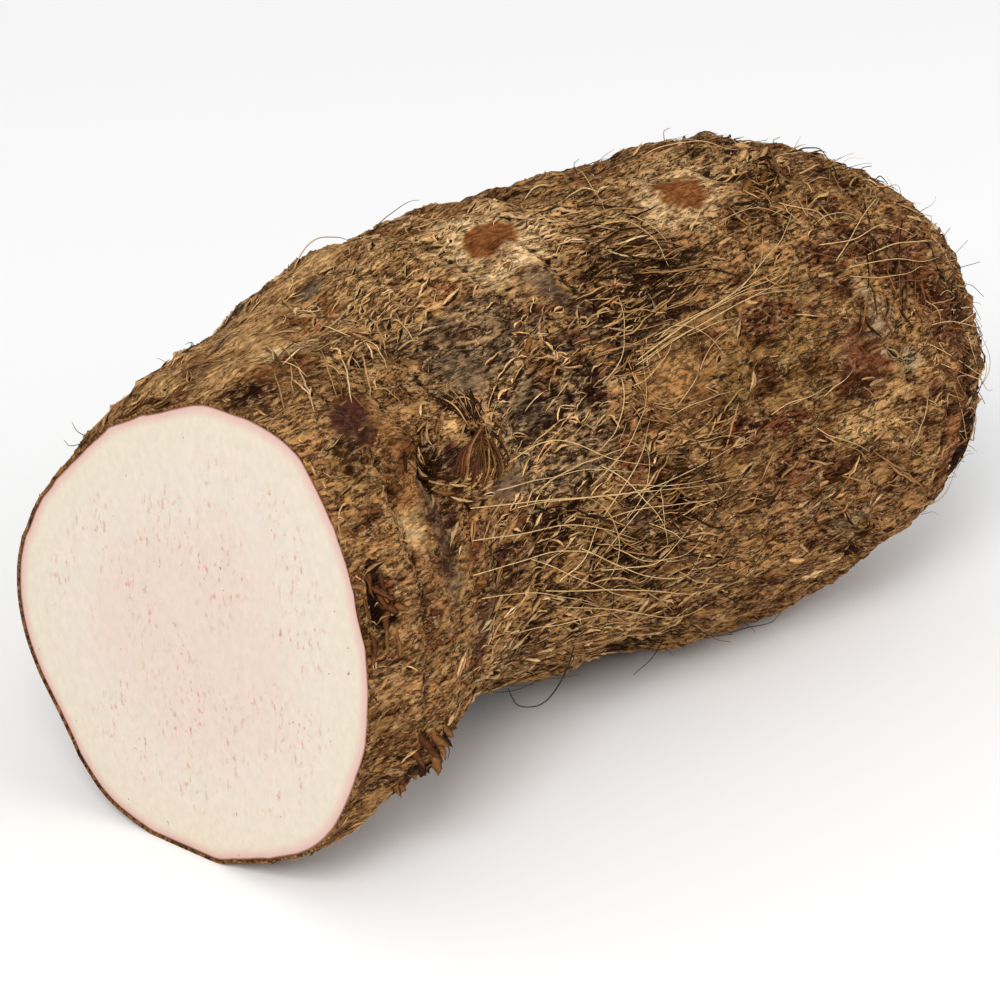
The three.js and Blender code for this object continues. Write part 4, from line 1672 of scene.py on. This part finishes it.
    standing: tuple = (
        # the wiry loop and the ends below the outline
        FreeHair(((574, 645), (568, 668), (549, 699), (534, 707), (517, 706), (508, 688)), 0.34, BLACK),
        FreeHair(((560, 648), (574, 658), (562, 676)), 0.26, BLACK),
        FreeHair(((664, 640), (652, 658), (633, 675)), 0.26, BLACK),
        FreeHair(((689, 624), (712, 636), (733, 634)), 0.3, BLACK),
        FreeHair(((696, 624), (718, 640), (731, 642)), 0.22, CHESTNUT),
        FreeHair(((500, 676), (494, 688), (484, 692)), 0.24, BLACK),
        # the crown's edge
        FreeHair(((926, 250), (940, 240), (950, 228)), 0.2, BLACK),
        FreeHair(((934, 265), (954, 254), (968, 240)), 0.18, CHESTNUT),
        FreeHair(((940, 272), (958, 268), (980, 262)), 0.2, BLACK),
        FreeHair(((946, 284), (968, 284), (984, 297)), 0.2, BLACK),
        FreeHair(((950, 298), (972, 303), (981, 320)), 0.2, CHESTNUT),
        FreeHair(((956, 308), (974, 318), (983, 336)), 0.22, BLACK),
        FreeHair(((918, 246), (930, 236), (942, 248), (950, 264)), 0.18, STRAW),
        FreeHair(((960, 328), (974, 330), (980, 345)), 0.2, BLACK),
        FreeHair(((964, 388), (978, 392), (985, 404)), 0.24, BLACK),
        FreeHair(((962, 404), (972, 412), (974, 430)), 0.2, CHESTNUT),
        # along the top
        FreeHair(((664, 140), (664, 131), (670, 128)), 0.2, CHESTNUT),
        FreeHair(((578, 174), (574, 164), (579, 159)), 0.2, BLACK),
        FreeHair(((428, 220), (430, 208), (436, 202)), 0.2, CHESTNUT),
        FreeHair(((466, 202), (478, 194), (492, 192)), 0.18, CHESTNUT),
        FreeHair(((778, 150), (773, 141), (780, 137)), 0.22, BLACK),
        FreeHair(((686, 142), (700, 132), (712, 133), (726, 142)), 0.26, CHESTNUT),
        FreeHair(((694, 142), (704, 131), (718, 134)), 0.22, BLACK),
        FreeHair(((700, 142), (712, 134), (724, 144)), 0.24, CHESTNUT),
        FreeHair(((794, 158), (804, 148), (818, 148), (829, 160)), 0.36, BLACK),
        FreeHair(((800, 160), (812, 152), (824, 155), (834, 167)), 0.26, CHESTNUT),
        FreeHair(((864, 178), (862, 168), (872, 166)), 0.26, BLACK),
        FreeHair(((872, 184), (880, 176), (888, 184)), 0.3, BLACK),
        # beside the cut
        FreeHair(((86, 436), (76, 430), (72, 422)), 0.2, CHESTNUT),
        FreeHair(((84, 442), (70, 446), (64, 440)), 0.18, BLACK),
    )

    def build(self) -> list[Piece]:
        """Builds the hairs: those that the photograph shows, and the rest of the coat.

        Returns:
            The pieces.
        """
        mould = StrandMould(5, self.spans)
        finish = StrandFinish("taro_hair", 0.3, (0.55, 0.75), 0.5).make()
        made = [settle(self._shown(mould), finish)]
        made.append(settle(self._free(mould), finish))
        made.append(settle(self._coat(mould), finish))
        fine = StrandMould(3, 8)
        made.append(settle(self._fuzz(fine), finish))
        return made

    def _cast(self, mould: StrandMould, name: str, rows: Array, angles: Array, lift: Array,
              thickness: Array, tint: Array) -> Piece:
        """Casts hairs that follow the bark at a height.

        Args:
            mould: the strand to cast.
            name: the piece's name.
            rows: distances from the cut along each hair.
            angles: angles along it.
            lift: heights over the bark.
            thickness: the thickness of each hair.
            tint: the colour of each hair.

        Returns:
            The piece.
        """
        points, normals = self.bark.place(np.clip(rows, 0.5, self.bark.grid_row[-2]), angles)
        soften(points, 4)
        soften(normals, 4)
        points = points + normals * (lift + 0.15)[..., None]
        points[..., 2] = np.maximum(points[..., 2], 0.3)
        taper = 1 - 0.65 * np.linspace(0, 1, mould.spans + 1)[None] ** 2
        half = thickness[:, None] / 2 * taper
        return mould.cast(name, points, normals, half, half, tint)

    def _shown(self, mould: StrandMould) -> Piece:
        """Builds the hairs that the photograph shows one by one.

        Args:
            mould: the strand to cast.

        Returns:
            The piece.
        """
        share = np.linspace(0, 1, mould.spans + 1)
        rows, angles = zip(*(self.view.trace(self.bark, hair.route, share) for hair in self.shown))
        lift = [0.25 + hair.arch * np.sin(share * math.pi) ** 0.8 for hair in self.shown]
        thickness = np.array([hair.thickness for hair in self.shown])
        tint = np.array([hair.tone.value for hair in self.shown])
        return self._cast(mould, "root_hairs_long", np.array(rows), np.array(angles), np.array(lift),
                          thickness, tint)

    def _free(self, mould: StrandMould) -> Piece:
        """Builds the hairs that leave the bark and stand out against the background.

        Args:
            mould: the strand to cast.

        Returns:
            The piece.
        """
        share = np.linspace(0, 1, mould.spans + 1)
        paths = []
        for hair in self.standing:
            row, angle = self.view.on_bark(self.bark, hair.route[0])
            root, normal = self.bark.place(np.array([row]), np.array([angle]))
            start = root[0] - normal[0] * 0.3
            points = np.array([start] + [self.view.beside(start, pixel) for pixel in hair.route[1:]])
            knots = np.linspace(0, 1, len(points))
            path = np.stack([SmoothCurve(knots, points[:, k])(share) for k in range(3)], -1)
            soften(path[None], 2)
            paths.append(path)
        paths = np.array(paths)
        paths[..., 2] = np.maximum(paths[..., 2], 0.3)
        up = np.broadcast_to(np.array([0.3, -0.2, 0.93]), paths.shape)
        half = np.array([[hair.thickness / 2] for hair in self.standing]) * (1 - 0.5 * share[None])
        tint = np.array([hair.tone.value for hair in self.standing])
        return mould.cast("root_hairs_free", paths, up, half, half, tint)

    def _flow(self, row: Array, angle: Array, heading: Array, length: Array, curl: Array,
              spans: int) -> tuple[Array, Array]:
        """Leads hairs over the bark.

        Args:
            row: where each hair starts, from the cut.
            angle: its angle there.
            heading: its first direction, 0 along the corm.
            length: its length.
            curl: how far it turns on its way, in radians.
            spans: how many stretches it has.

        Returns:
            Rows and angles along each hair.
        """
        share = np.linspace(0, 1, spans + 1)[None]
        turning = heading[:, None] + curl[:, None] * share
        step = length[:, None] / spans
        rows = row[:, None] + np.cumsum(np.cos(turning) * step, axis=1)
        radius = np.maximum(self.bark.shape.radius_at(np.clip(rows, 0, 203)), 8)
        angles = angle[:, None] + np.cumsum(np.sin(turning) * step / radius, axis=1)
        return rows, angles

    def _coat(self, mould: StrandMould) -> Piece:
        """Builds the rest of the longer hairs, thickest low on the front and near the crown.

        Args:
            mould: the strand to cast.

        Returns:
            The piece.
        """
        draw = np.random.default_rng(self.seed)
        parts = []
        for count, x, x_spread, angle, angle_spread, length in self.beds:
            row = np.clip(draw.normal(x, x_spread * 0.6, count), 4, 196)
            turn = np.radians(draw.normal(angle, angle_spread, count))
            parts.append(np.stack([row, turn, length * draw.uniform(0.45, 1.5, count)], -1))
        row, angle, length = np.concatenate(parts).T
        heading = draw.normal(0.05, 0.55, len(row))
        rows, angles = self._flow(row, angle, heading, length, draw.normal(0, 1.0, len(row)), mould.spans)
        share = np.linspace(0, 1, mould.spans + 1)[None]
        arch = draw.uniform(0.2, 1.8, (len(row), 1)) * np.minimum(length[:, None] / 14, 1.4)
        free = np.where(draw.uniform(size=(len(row), 1)) < 0.25, draw.uniform(0.5, 3.0, (len(row), 1)), 0)
        on_top = np.exp(-((np.degrees(angle[:, None]) - self.top_angle) / self.top_width) ** 2)
        arch, free = arch * (1 - 0.8 * on_top), free * (1 - on_top)
        lift = 0.12 + arch * np.sin(share * math.pi) ** 0.9 + free * share ** 2
        tint = self._tints(draw, len(row), (0.55, 0.3, 0.15))
        thickness = draw.uniform(0.13, 0.26, len(row))
        return self._cast(mould, "root_hairs_coat", rows, angles, lift, thickness, tint)

    def _fuzz(self, mould: StrandMould) -> Piece:
        """Builds short hairs that stand out of the bark, most of them near the crown.

        Args:
            mould: the strand to cast.

        Returns:
            The piece.
        """
        draw = np.random.default_rng(self.seed + 1)
        count = self.fuzz
        crowded = draw.uniform(size=count) < 0.7
        row = np.where(crowded, draw.normal(180, 9, count), draw.uniform(5, 198, count))
        row = np.clip(row, 3, 200)
        angle = draw.uniform(0, FULL_TURN, count)
        length = draw.uniform(1.5, 6.5, count)
        rows, angles = self._flow(row, angle, draw.normal(0, 1.0, count), length * 0.75,
                                  draw.normal(0, 1.2, count), mould.spans)
        share = np.linspace(0, 1, mould.spans + 1)[None]
        lift = 0.1 + length[:, None] * draw.uniform(0.05, 0.75, (count, 1)) * share ** 1.2
        tint = self._tints(draw, count, (0.5, 0.3, 0.2))
        thickness = draw.uniform(0.1, 0.2, count)
        return self._cast(mould, "root_hairs_fuzz", rows, angles, lift, thickness, tint)

    @staticmethod
    def _tints(draw: Draws, count: int, odds: tuple[float, float, float]) -> Array:
        """Draws a colour for each hair: pale, brown or black, by these odds."""
        tones = np.array([STRAW.value, CHESTNUT.value, BLACK.value])
        return tones[draw.choice(3, count, p=odds)] * draw.uniform(0.7, 1.1, (count, 1))


@dataclass(frozen=True)
class Bundle:
    """Fibres that run side by side over a stretch of the photograph."""

    box: tuple[float, float, float, float]     # where they start: across, down, to across, to down
    reach: tuple[float, float]                 # how far they run, in pixels: across, down
    count: int
    width: tuple[float, float]
    lift: float
    tones: tuple
    scatter: float = 0.2                       # how far their directions stray


@dataclass(frozen=True)
class Whorl:
    """Fibres that bend round a bud or a swelling of the photograph."""

    centre: tuple[float, float]
    radii: tuple[float, float, float, float]   # least across and down, most across and down
    turn: tuple[float, float]                  # where on the round they lie, in degrees
    count: int
    width: tuple[float, float]
    lift: float
    tones: tuple


@dataclass
class LeafBaseFibres:
    """The torn remains of leaf bases: flat fibres in bundles, round the buds and on the side bud."""

    bark: Bark
    view: PhotoView
    spans: int = 10
    seed: int = 15
    bundles: tuple = (
        # the dark bundles over the middle
        Bundle((575, 240, 640, 300), (85, -18), 44, (0.16, 0.5), 0.5, (BLACK, DARK, OCHRE)),
        Bundle((600, 290, 660, 350), (70, -30), 34, (0.16, 0.45), 0.5, (BLACK, DARK, TAN)),
        Bundle((560, 300, 640, 380), (38, -14), 36, (0.2, 0.55), 0.4, (OCHRE, TAN, DARK)),
        Bundle((520, 200, 620, 250), (44, -10), 26, (0.2, 0.5), 0.5, (PALE, TAN, DARK)),
        # the golden fibres upon the cut's shoulder
        Bundle((260, 300, 400, 380), (26, 8), 60, (0.18, 0.5), 0.6, (PALE, TAN, CHESTNUT), 0.9),
        # the shaggy stretch below the side bud and under the bulge
        Bundle((560, 500, 720, 600), (46, -6), 90, (0.16, 0.5), 0.6, (OCHRE, TAN, DARK, BROWN), 0.5),
        Bundle((640, 430, 760, 520), (30, -10), 60, (0.18, 0.6), 0.6, (OCHRE, DARK, BROWN), 0.6),
        Bundle((780, 400, 900, 500), (22, -8), 60, (0.18, 0.6), 0.6, (OCHRE, TAN, BROWN), 0.8),
        # over the top right
        Bundle((720, 160, 860, 230), (24, 5), 46, (0.16, 0.45), 0.5, (TAN, OCHRE, DARK), 0.7),
        Bundle((860, 230, 930, 320), (10, 34), 40, (0.2, 0.6), 0.6, (RUST, RED, DARK), 0.3),
        Bundle((925, 280, 950, 420), (26, -3), 50, (0.16, 0.4), 0.6, (RUST, RED, TAN), 0.2),
    )
    whorls: tuple = (
        Whorl((455, 448), (30, 28, 54, 50), (0, 360), 46, (0.25, 1.1), 0.15, (TAN, OCHRE, DARK, BROWN)),
        Whorl((695, 378), (50, 44, 72, 62), (100, 290), 60, (0.16, 0.5), 0.3, (OCHRE, TAN, BROWN)),
        Whorl((765, 182), (10, 8, 26, 18), (0, 360), 44, (0.2, 0.6), 0.8, (TAN, DARK, CHESTNUT)),
        Whorl((858, 518), (8, 7, 26, 20), (0, 360), 40, (0.2, 0.7), 0.7, (OCHRE, DARK, BROWN)),
        Whorl((690, 500), (12, 12, 34, 28), (0, 360), 50, (0.18, 0.5), 0.7, (OCHRE, DARK, CHESTNUT)),
    )

    # the side bud: fibres from its foot to its tip, dark spikes and pale flaps, by pixels
    bud_fibres: int = 40
    bud_spikes: int = 26
    bud_flaps: int = 5
    bud_tip: tuple[float, float] = (480, 432)
    spike_foot: tuple[float, float] = (474, 426)
    flap_route: tuple = ((437, 414), (450, 406), (462, 409), (472, 424))
    bud_tones: tuple = (BROWN, OCHRE, RED, GOLD, UMBER, RUST)

    def build(self) -> list[Piece]:
        """Builds the bundles, the whorls and the side bud.

        Returns:
            The pieces.
        """
        mould = StrandMould(4, self.spans)
        finish = StrandFinish("taro_fibre", 0.05, (0.7, 0.9), 0.25).make()
        draw = np.random.default_rng(self.seed)
        routes, widths, lifts, tints = [], [], [], []
        for group in self.bundles:
            for _ in range(group.count):
                routes.append(self._along(group, draw))
                self._dress(group, draw, widths, lifts, tints)
        for group in self.whorls:
            for _ in range(group.count):
                routes.append(self._round(group, draw))
                self._dress(group, draw, widths, lifts, tints)
        made = [self._cast(mould, "leaf_base_fibres", routes, widths, lifts, tints)]
        made.append(self._bud(mould, draw))
        return [settle(obj, finish) for obj in made]

    @staticmethod
    def _dress(group: Bundle | Whorl, draw: Draws, widths: list, lifts: list,
               tints: list) -> None:
        """Draws one fibre's width, lift and tone, and adds them to the lists.

        Args:
            group: the fibre's bundle or whorl.
            draw: the random draws.
            widths: the widths so far.
            lifts: the lifts so far.
            tints: the colours so far.
        """
        widths.append(draw.uniform(*group.width))
        lifts.append(group.lift * draw.uniform(0.2, 1.5))
        tone = group.tones[draw.integers(len(group.tones))]
        tints.append(np.array(tone.value) * draw.uniform(0.6, 1.15))

    @staticmethod
    def _along(group: Bundle, draw: Draws) -> Array:
        """Draws the route of one fibre of a bundle.

        Args:
            group: the bundle.
            draw: the random draws.

        Returns:
            The pixels that it passes.
        """
        left, top, right, bottom = group.box
        start = np.array([draw.uniform(left, right), draw.uniform(top, bottom)])
        reach = np.array(group.reach) * draw.uniform(0.35, 1.2)
        stray = np.array([-reach[1], reach[0]])
        aim = draw.normal(0, group.scatter)
        bend = draw.normal(0, 0.1)
        share = np.linspace(0, 1, 5)[:, None]
        return start + (reach + stray * aim) * share + stray * bend * np.sin(share * math.pi)

    @staticmethod
    def _round(group: Whorl, draw: Draws) -> Array:
        """Draws the route of one fibre of a whorl.

        Args:
            group: the whorl.
            draw: the random draws.

        Returns:
            The pixels that it passes.
        """
        size = draw.uniform(0, 1)
        across = group.radii[0] + (group.radii[2] - group.radii[0]) * size
        down = group.radii[1] + (group.radii[3] - group.radii[1]) * size
        start = math.radians(draw.uniform(*group.turn))
        turns = start + np.linspace(0, 1, 5) * draw.uniform(0.15, 0.7)
        drift = np.linspace(1, draw.uniform(0.65, 1.15), 5)
        return np.stack([group.centre[0] + across * drift * np.cos(turns),
                         group.centre[1] - down * drift * np.sin(turns)], -1)

    def _cast(self, mould: StrandMould, name: str, routes: Sequence[Array], widths: Sequence[float],
              lifts: Sequence[float], tints: Sequence[Array]) -> Piece:
        """Casts flat fibres that follow routes over the bark.

        Args:
            mould: the strand to cast.
            name: the piece's name.
            routes: the route of each fibre, in pixels of the photograph.
            widths: the full width of each, in millimetres.
            lifts: how high each arches over the bark.
            tints: the colour of each.

        Returns:
            The piece.
        """
        share = np.linspace(0, 1, mould.spans + 1)
        rows, angles = zip(*(self.view.trace(self.bark, route, share) for route in routes))
        rows = np.clip(np.array(rows), 0.5, self.bark.grid_row[-2])
        points, normals = self.bark.place(rows, np.array(angles))
        soften(points, 2)
        lift = np.array(lifts)[:, None] * (np.sin(share * math.pi) * 0.8 + 0.5 * share ** 2)[None]
        points = points + normals * (lift + 0.12)[..., None]
        swell = np.maximum(np.sin(share * math.pi) ** 0.6, 0.12)[None]
        half = np.array(widths)[:, None] / 2 * swell
        return mould.cast(name, points, normals, half, np.minimum(half, 0.22), np.array(tints))

    def _bud(self, mould: StrandMould, draw: Draws) -> Piece:
        """Builds the side bud: fibres that rise over its nodule, dark spikes and a pale flap.

        Args:
            mould: the strand to cast.
            draw: the random draws.

        Returns:
            The piece.
        """
        routes, widths, lifts, tints = [], [], [], []
        for k in range(self.bud_fibres):
            share = (k + draw.uniform(-1, 1)) / self.bud_fibres
            side = math.cos(math.pi * share)
            foot = np.array([479 - 22 * side, 468 + 18 * math.sin(math.pi * share)])
            foot = foot + draw.normal(0, 2.4, 2)
            tip = np.array(self.bud_tip) + draw.normal(0, 3, 2)
            middle = (foot + tip) / 2 + np.array([-9 * side, 0])
            routes.append(np.array([foot, (foot + middle) / 2 + [-2 * side, 2], middle, tip]))
            widths.append(draw.uniform(0.2, 0.7))
            lifts.append(draw.uniform(0.2, 1.1))
            tone = self.bud_tones[draw.integers(len(self.bud_tones))]
            tints.append(np.array(tone.value) * draw.uniform(0.3, 1.0))
        for k in range(self.bud_spikes):
            tip = np.array([430 + 2.2 * k * draw.uniform(0.6, 1), 404 - 14 * math.sin(k * 0.12)])
            tip = tip + draw.normal(0, 4, 2)
            foot = np.array(self.spike_foot) + draw.normal(0, 2.5, 2)
            low, high = foot * 0.65 + tip * 0.35 + [0, -2], foot * 0.3 + tip * 0.7 + [0, -3]
            routes.append(np.array([foot, low, high, tip]))
            widths.append(draw.uniform(0.2, 0.6))
            lifts.append(draw.uniform(0.2, 1.4))
            tints.append(np.array((DARK, BLACK, TAN)[k % 3].value) * draw.uniform(0.5, 1.1))
        for k in range(self.bud_flaps):
            shift = np.array([k * 3.2, -k * 2.2 + draw.normal(0, 0.6)])
            routes.append(np.array(self.flap_route) + shift)
            widths.append(draw.uniform(0.35, 0.6))
            lifts.append(draw.uniform(0.5, 1.2))
            tints.append(np.array((TAN if k % 3 else DARK).value) * draw.uniform(0.8, 1.1))
        return self._cast(mould, "side_bud", routes, widths, lifts, tints)


@dataclass(frozen=True)
class Bed:
    """A stretch of bark that bears flat scales."""

    count: int
    x: tuple[float, float]
    angle: tuple[float, float]
    length: float
    width: float
    lift: float
    tones: tuple
    heading: float = 0.0       # direction of their free ends, 0 towards the crown


@dataclass
class BarkScales:
    """Flat scales and flaps of torn skin, fixed at one end and lifted at the other."""

    bark: Bark
    thickness: float = 0.14
    seed: int = 33
    beds: tuple = (
        Bed(110, (150, 200), (0, 360), 4.5, 1.3, 0.8, (RUST, BROWN, DARK, TAN)),
        Bed(240, (6, 150), (0, 360), 3, 1.1, 0.4, (TAN, OCHRE, UMBER, BROWN)),
        Bed(30, (140, 178), (70, 110), 4.5, 1.5, 1.3, (DARK, BROWN, TAN)),
        # the stub low beside the cut
        Bed(46, (13, 27), (196, 214), 5, 2.0, 1.8, (DARK, UMBER, BROWN), 1.2),
        # the crack
        Bed(14, (2, 9), (150, 168), 4, 1.6, 1.0, (UMBER, RED, BROWN), 1.5),
        # the edge of the skin round the cut
        Bed(90, (0.8, 3), (0, 360), 2.4, 0.7, 0.3, (TAN, BROWN, UMBER), 1.57),
        Bed(26, (0.8, 5), (62, 84), 6, 1.6, 0.9, (BROWN, TAN, UMBER), 1.57),
    )

    def build(self) -> Piece:
        """Builds the scales.

        Returns:
            The piece.
        """
        mould = StrandMould(4, 6)
        draw = np.random.default_rng(self.seed)
        share = np.linspace(0, 1, mould.spans + 1)[None]
        parts = []
        for bed in self.beds:
            count = bed.count
            row = draw.uniform(*bed.x, count)
            angle = np.radians(draw.uniform(*bed.angle, count))
            heading = bed.heading + draw.normal(0, 0.35, count)
            length = bed.length * draw.uniform(0.5, 1.3, count)
            lift = bed.lift * draw.uniform(0.2, 1.4, count)
            width = bed.width * draw.uniform(0.4, 1.2, count)
            tone = np.array([bed.tones[k].value for k in draw.integers(len(bed.tones), size=count)])
            tone = tone * draw.uniform(0.6, 1.15, (count, 1))
            parts.append((row, angle, heading, length, lift, width, tone))
        row, angle, heading, length, lift, width, tint = (np.concatenate(part) for part in zip(*parts))
        rows = row[:, None] + (np.cos(heading) * length)[:, None] * share
        radius = np.maximum(self.bark.shape.radius_at(np.clip(rows, 0, 203)), 8)
        angles = angle[:, None] + (np.sin(heading) * length)[:, None] * share / radius
        points, normals = self.bark.place(np.clip(rows, 0.4, self.bark.grid_row[-2]), angles)
        points = points + normals * (0.05 + lift[:, None] * share ** 1.6)[..., None]
        ragged = draw.uniform(0.7, 1.15, (len(row), mould.spans + 1))
        outline = np.maximum(np.sin((0.12 + 0.88 * share) * math.pi) ** 0.5, 0.1)
        half = width[:, None] / 2 * outline * ragged
        thick = np.full(half.shape, self.thickness) * np.maximum(np.sin(share * math.pi), 0.3)
        obj = mould.cast("bark_scales", points, normals, half, thick, tint)
        return settle(obj, StrandFinish("taro_scales", 0.04, (0.75, 0.92), 0.5).make())


@dataclass
class Studio:
    """The plain pale floor and the plain soft light."""

    floor_size: float = 6.0    # sizes and places in metres, lights in watts
    floor_tone: float = 0.95
    key: float = 62.0
    key_place: tuple[float, float, float] = (-2.0, -1.2, 1.9)
    key_size: float = 1.3
    fill: float = 5.0
    fill_place: tuple[float, float, float] = (0.55, -1.2, 0.7)
    fill_size: float = 1.0
    aim: tuple[float, float, float] = (0, 0, 0.04)
    sky: float = 0.6

    def build(self) -> None:
        """Lays the floor and hangs the lights."""
        floor = new_primitive(bpy.ops.mesh.primitive_plane_add, "studio_floor", size=self.floor_size)
        sheet = Sheet("studio_white")
        floor.data.materials.append(sheet.finish((*(self.floor_tone,) * 3, 1), 0.9))
        world = bpy.data.worlds.new("studio_sky")
        world.use_nodes = True
        world.node_tree.nodes["Background"].inputs[0].default_value = (1, 1, 1, 1)
        world.node_tree.nodes["Background"].inputs[1].default_value = self.sky
        bpy.context.scene.world = world
        self._lamp("key_light", self.key_place, self.key_size, self.key)
        self._lamp("fill_light", self.fill_place, self.fill_size, self.fill)
        bpy.context.scene.view_settings.view_transform = "Standard"

    def _lamp(self, name: str, place: tuple[float, float, float], size: float, power: float) -> None:
        """Hangs one square lamp that shines at the corm.

        Args:
            name: the lamp's name.
            place: where it hangs, in metres.
            size: the length of its side, in metres.
            power: its power, in watts.
        """
        data = bpy.data.lights.new(name, "AREA")
        data.size = size
        data.energy = power
        lamp = bpy.data.objects.new(name, data)
        lamp.location = place
        lamp.rotation_euler = (Vector(self.aim) - Vector(place)).to_track_quat("-Z", "Y").to_euler()
        bpy.context.scene.collection.objects.link(lamp)


def main() -> None:
    """Builds the corm piece by piece and reports each one."""
    logging.basicConfig(level=logging.INFO, format="%(message)s")
    view = PhotoView()
    view.build()
    Studio().build()
    shape = CormShape()
    bark = Bark(shape, BarkPattern(shape, view))
    made = [bark.build()]
    made.append(CutFlesh(shape, bark).build())
    made += CorkNet(bark).build()
    made += CorkCrumbs(bark).build()
    made += LeafBaseFibres(bark, view).build()
    made.append(BarkScales(bark).build())
    made += RootHairs(bark, view).build()
    for obj in made:
        LOG.info("%s: %d triangles", obj.name, sum(len(p.vertices) - 2 for p in obj.data.polygons))


if __name__ == "__main__":
    main()
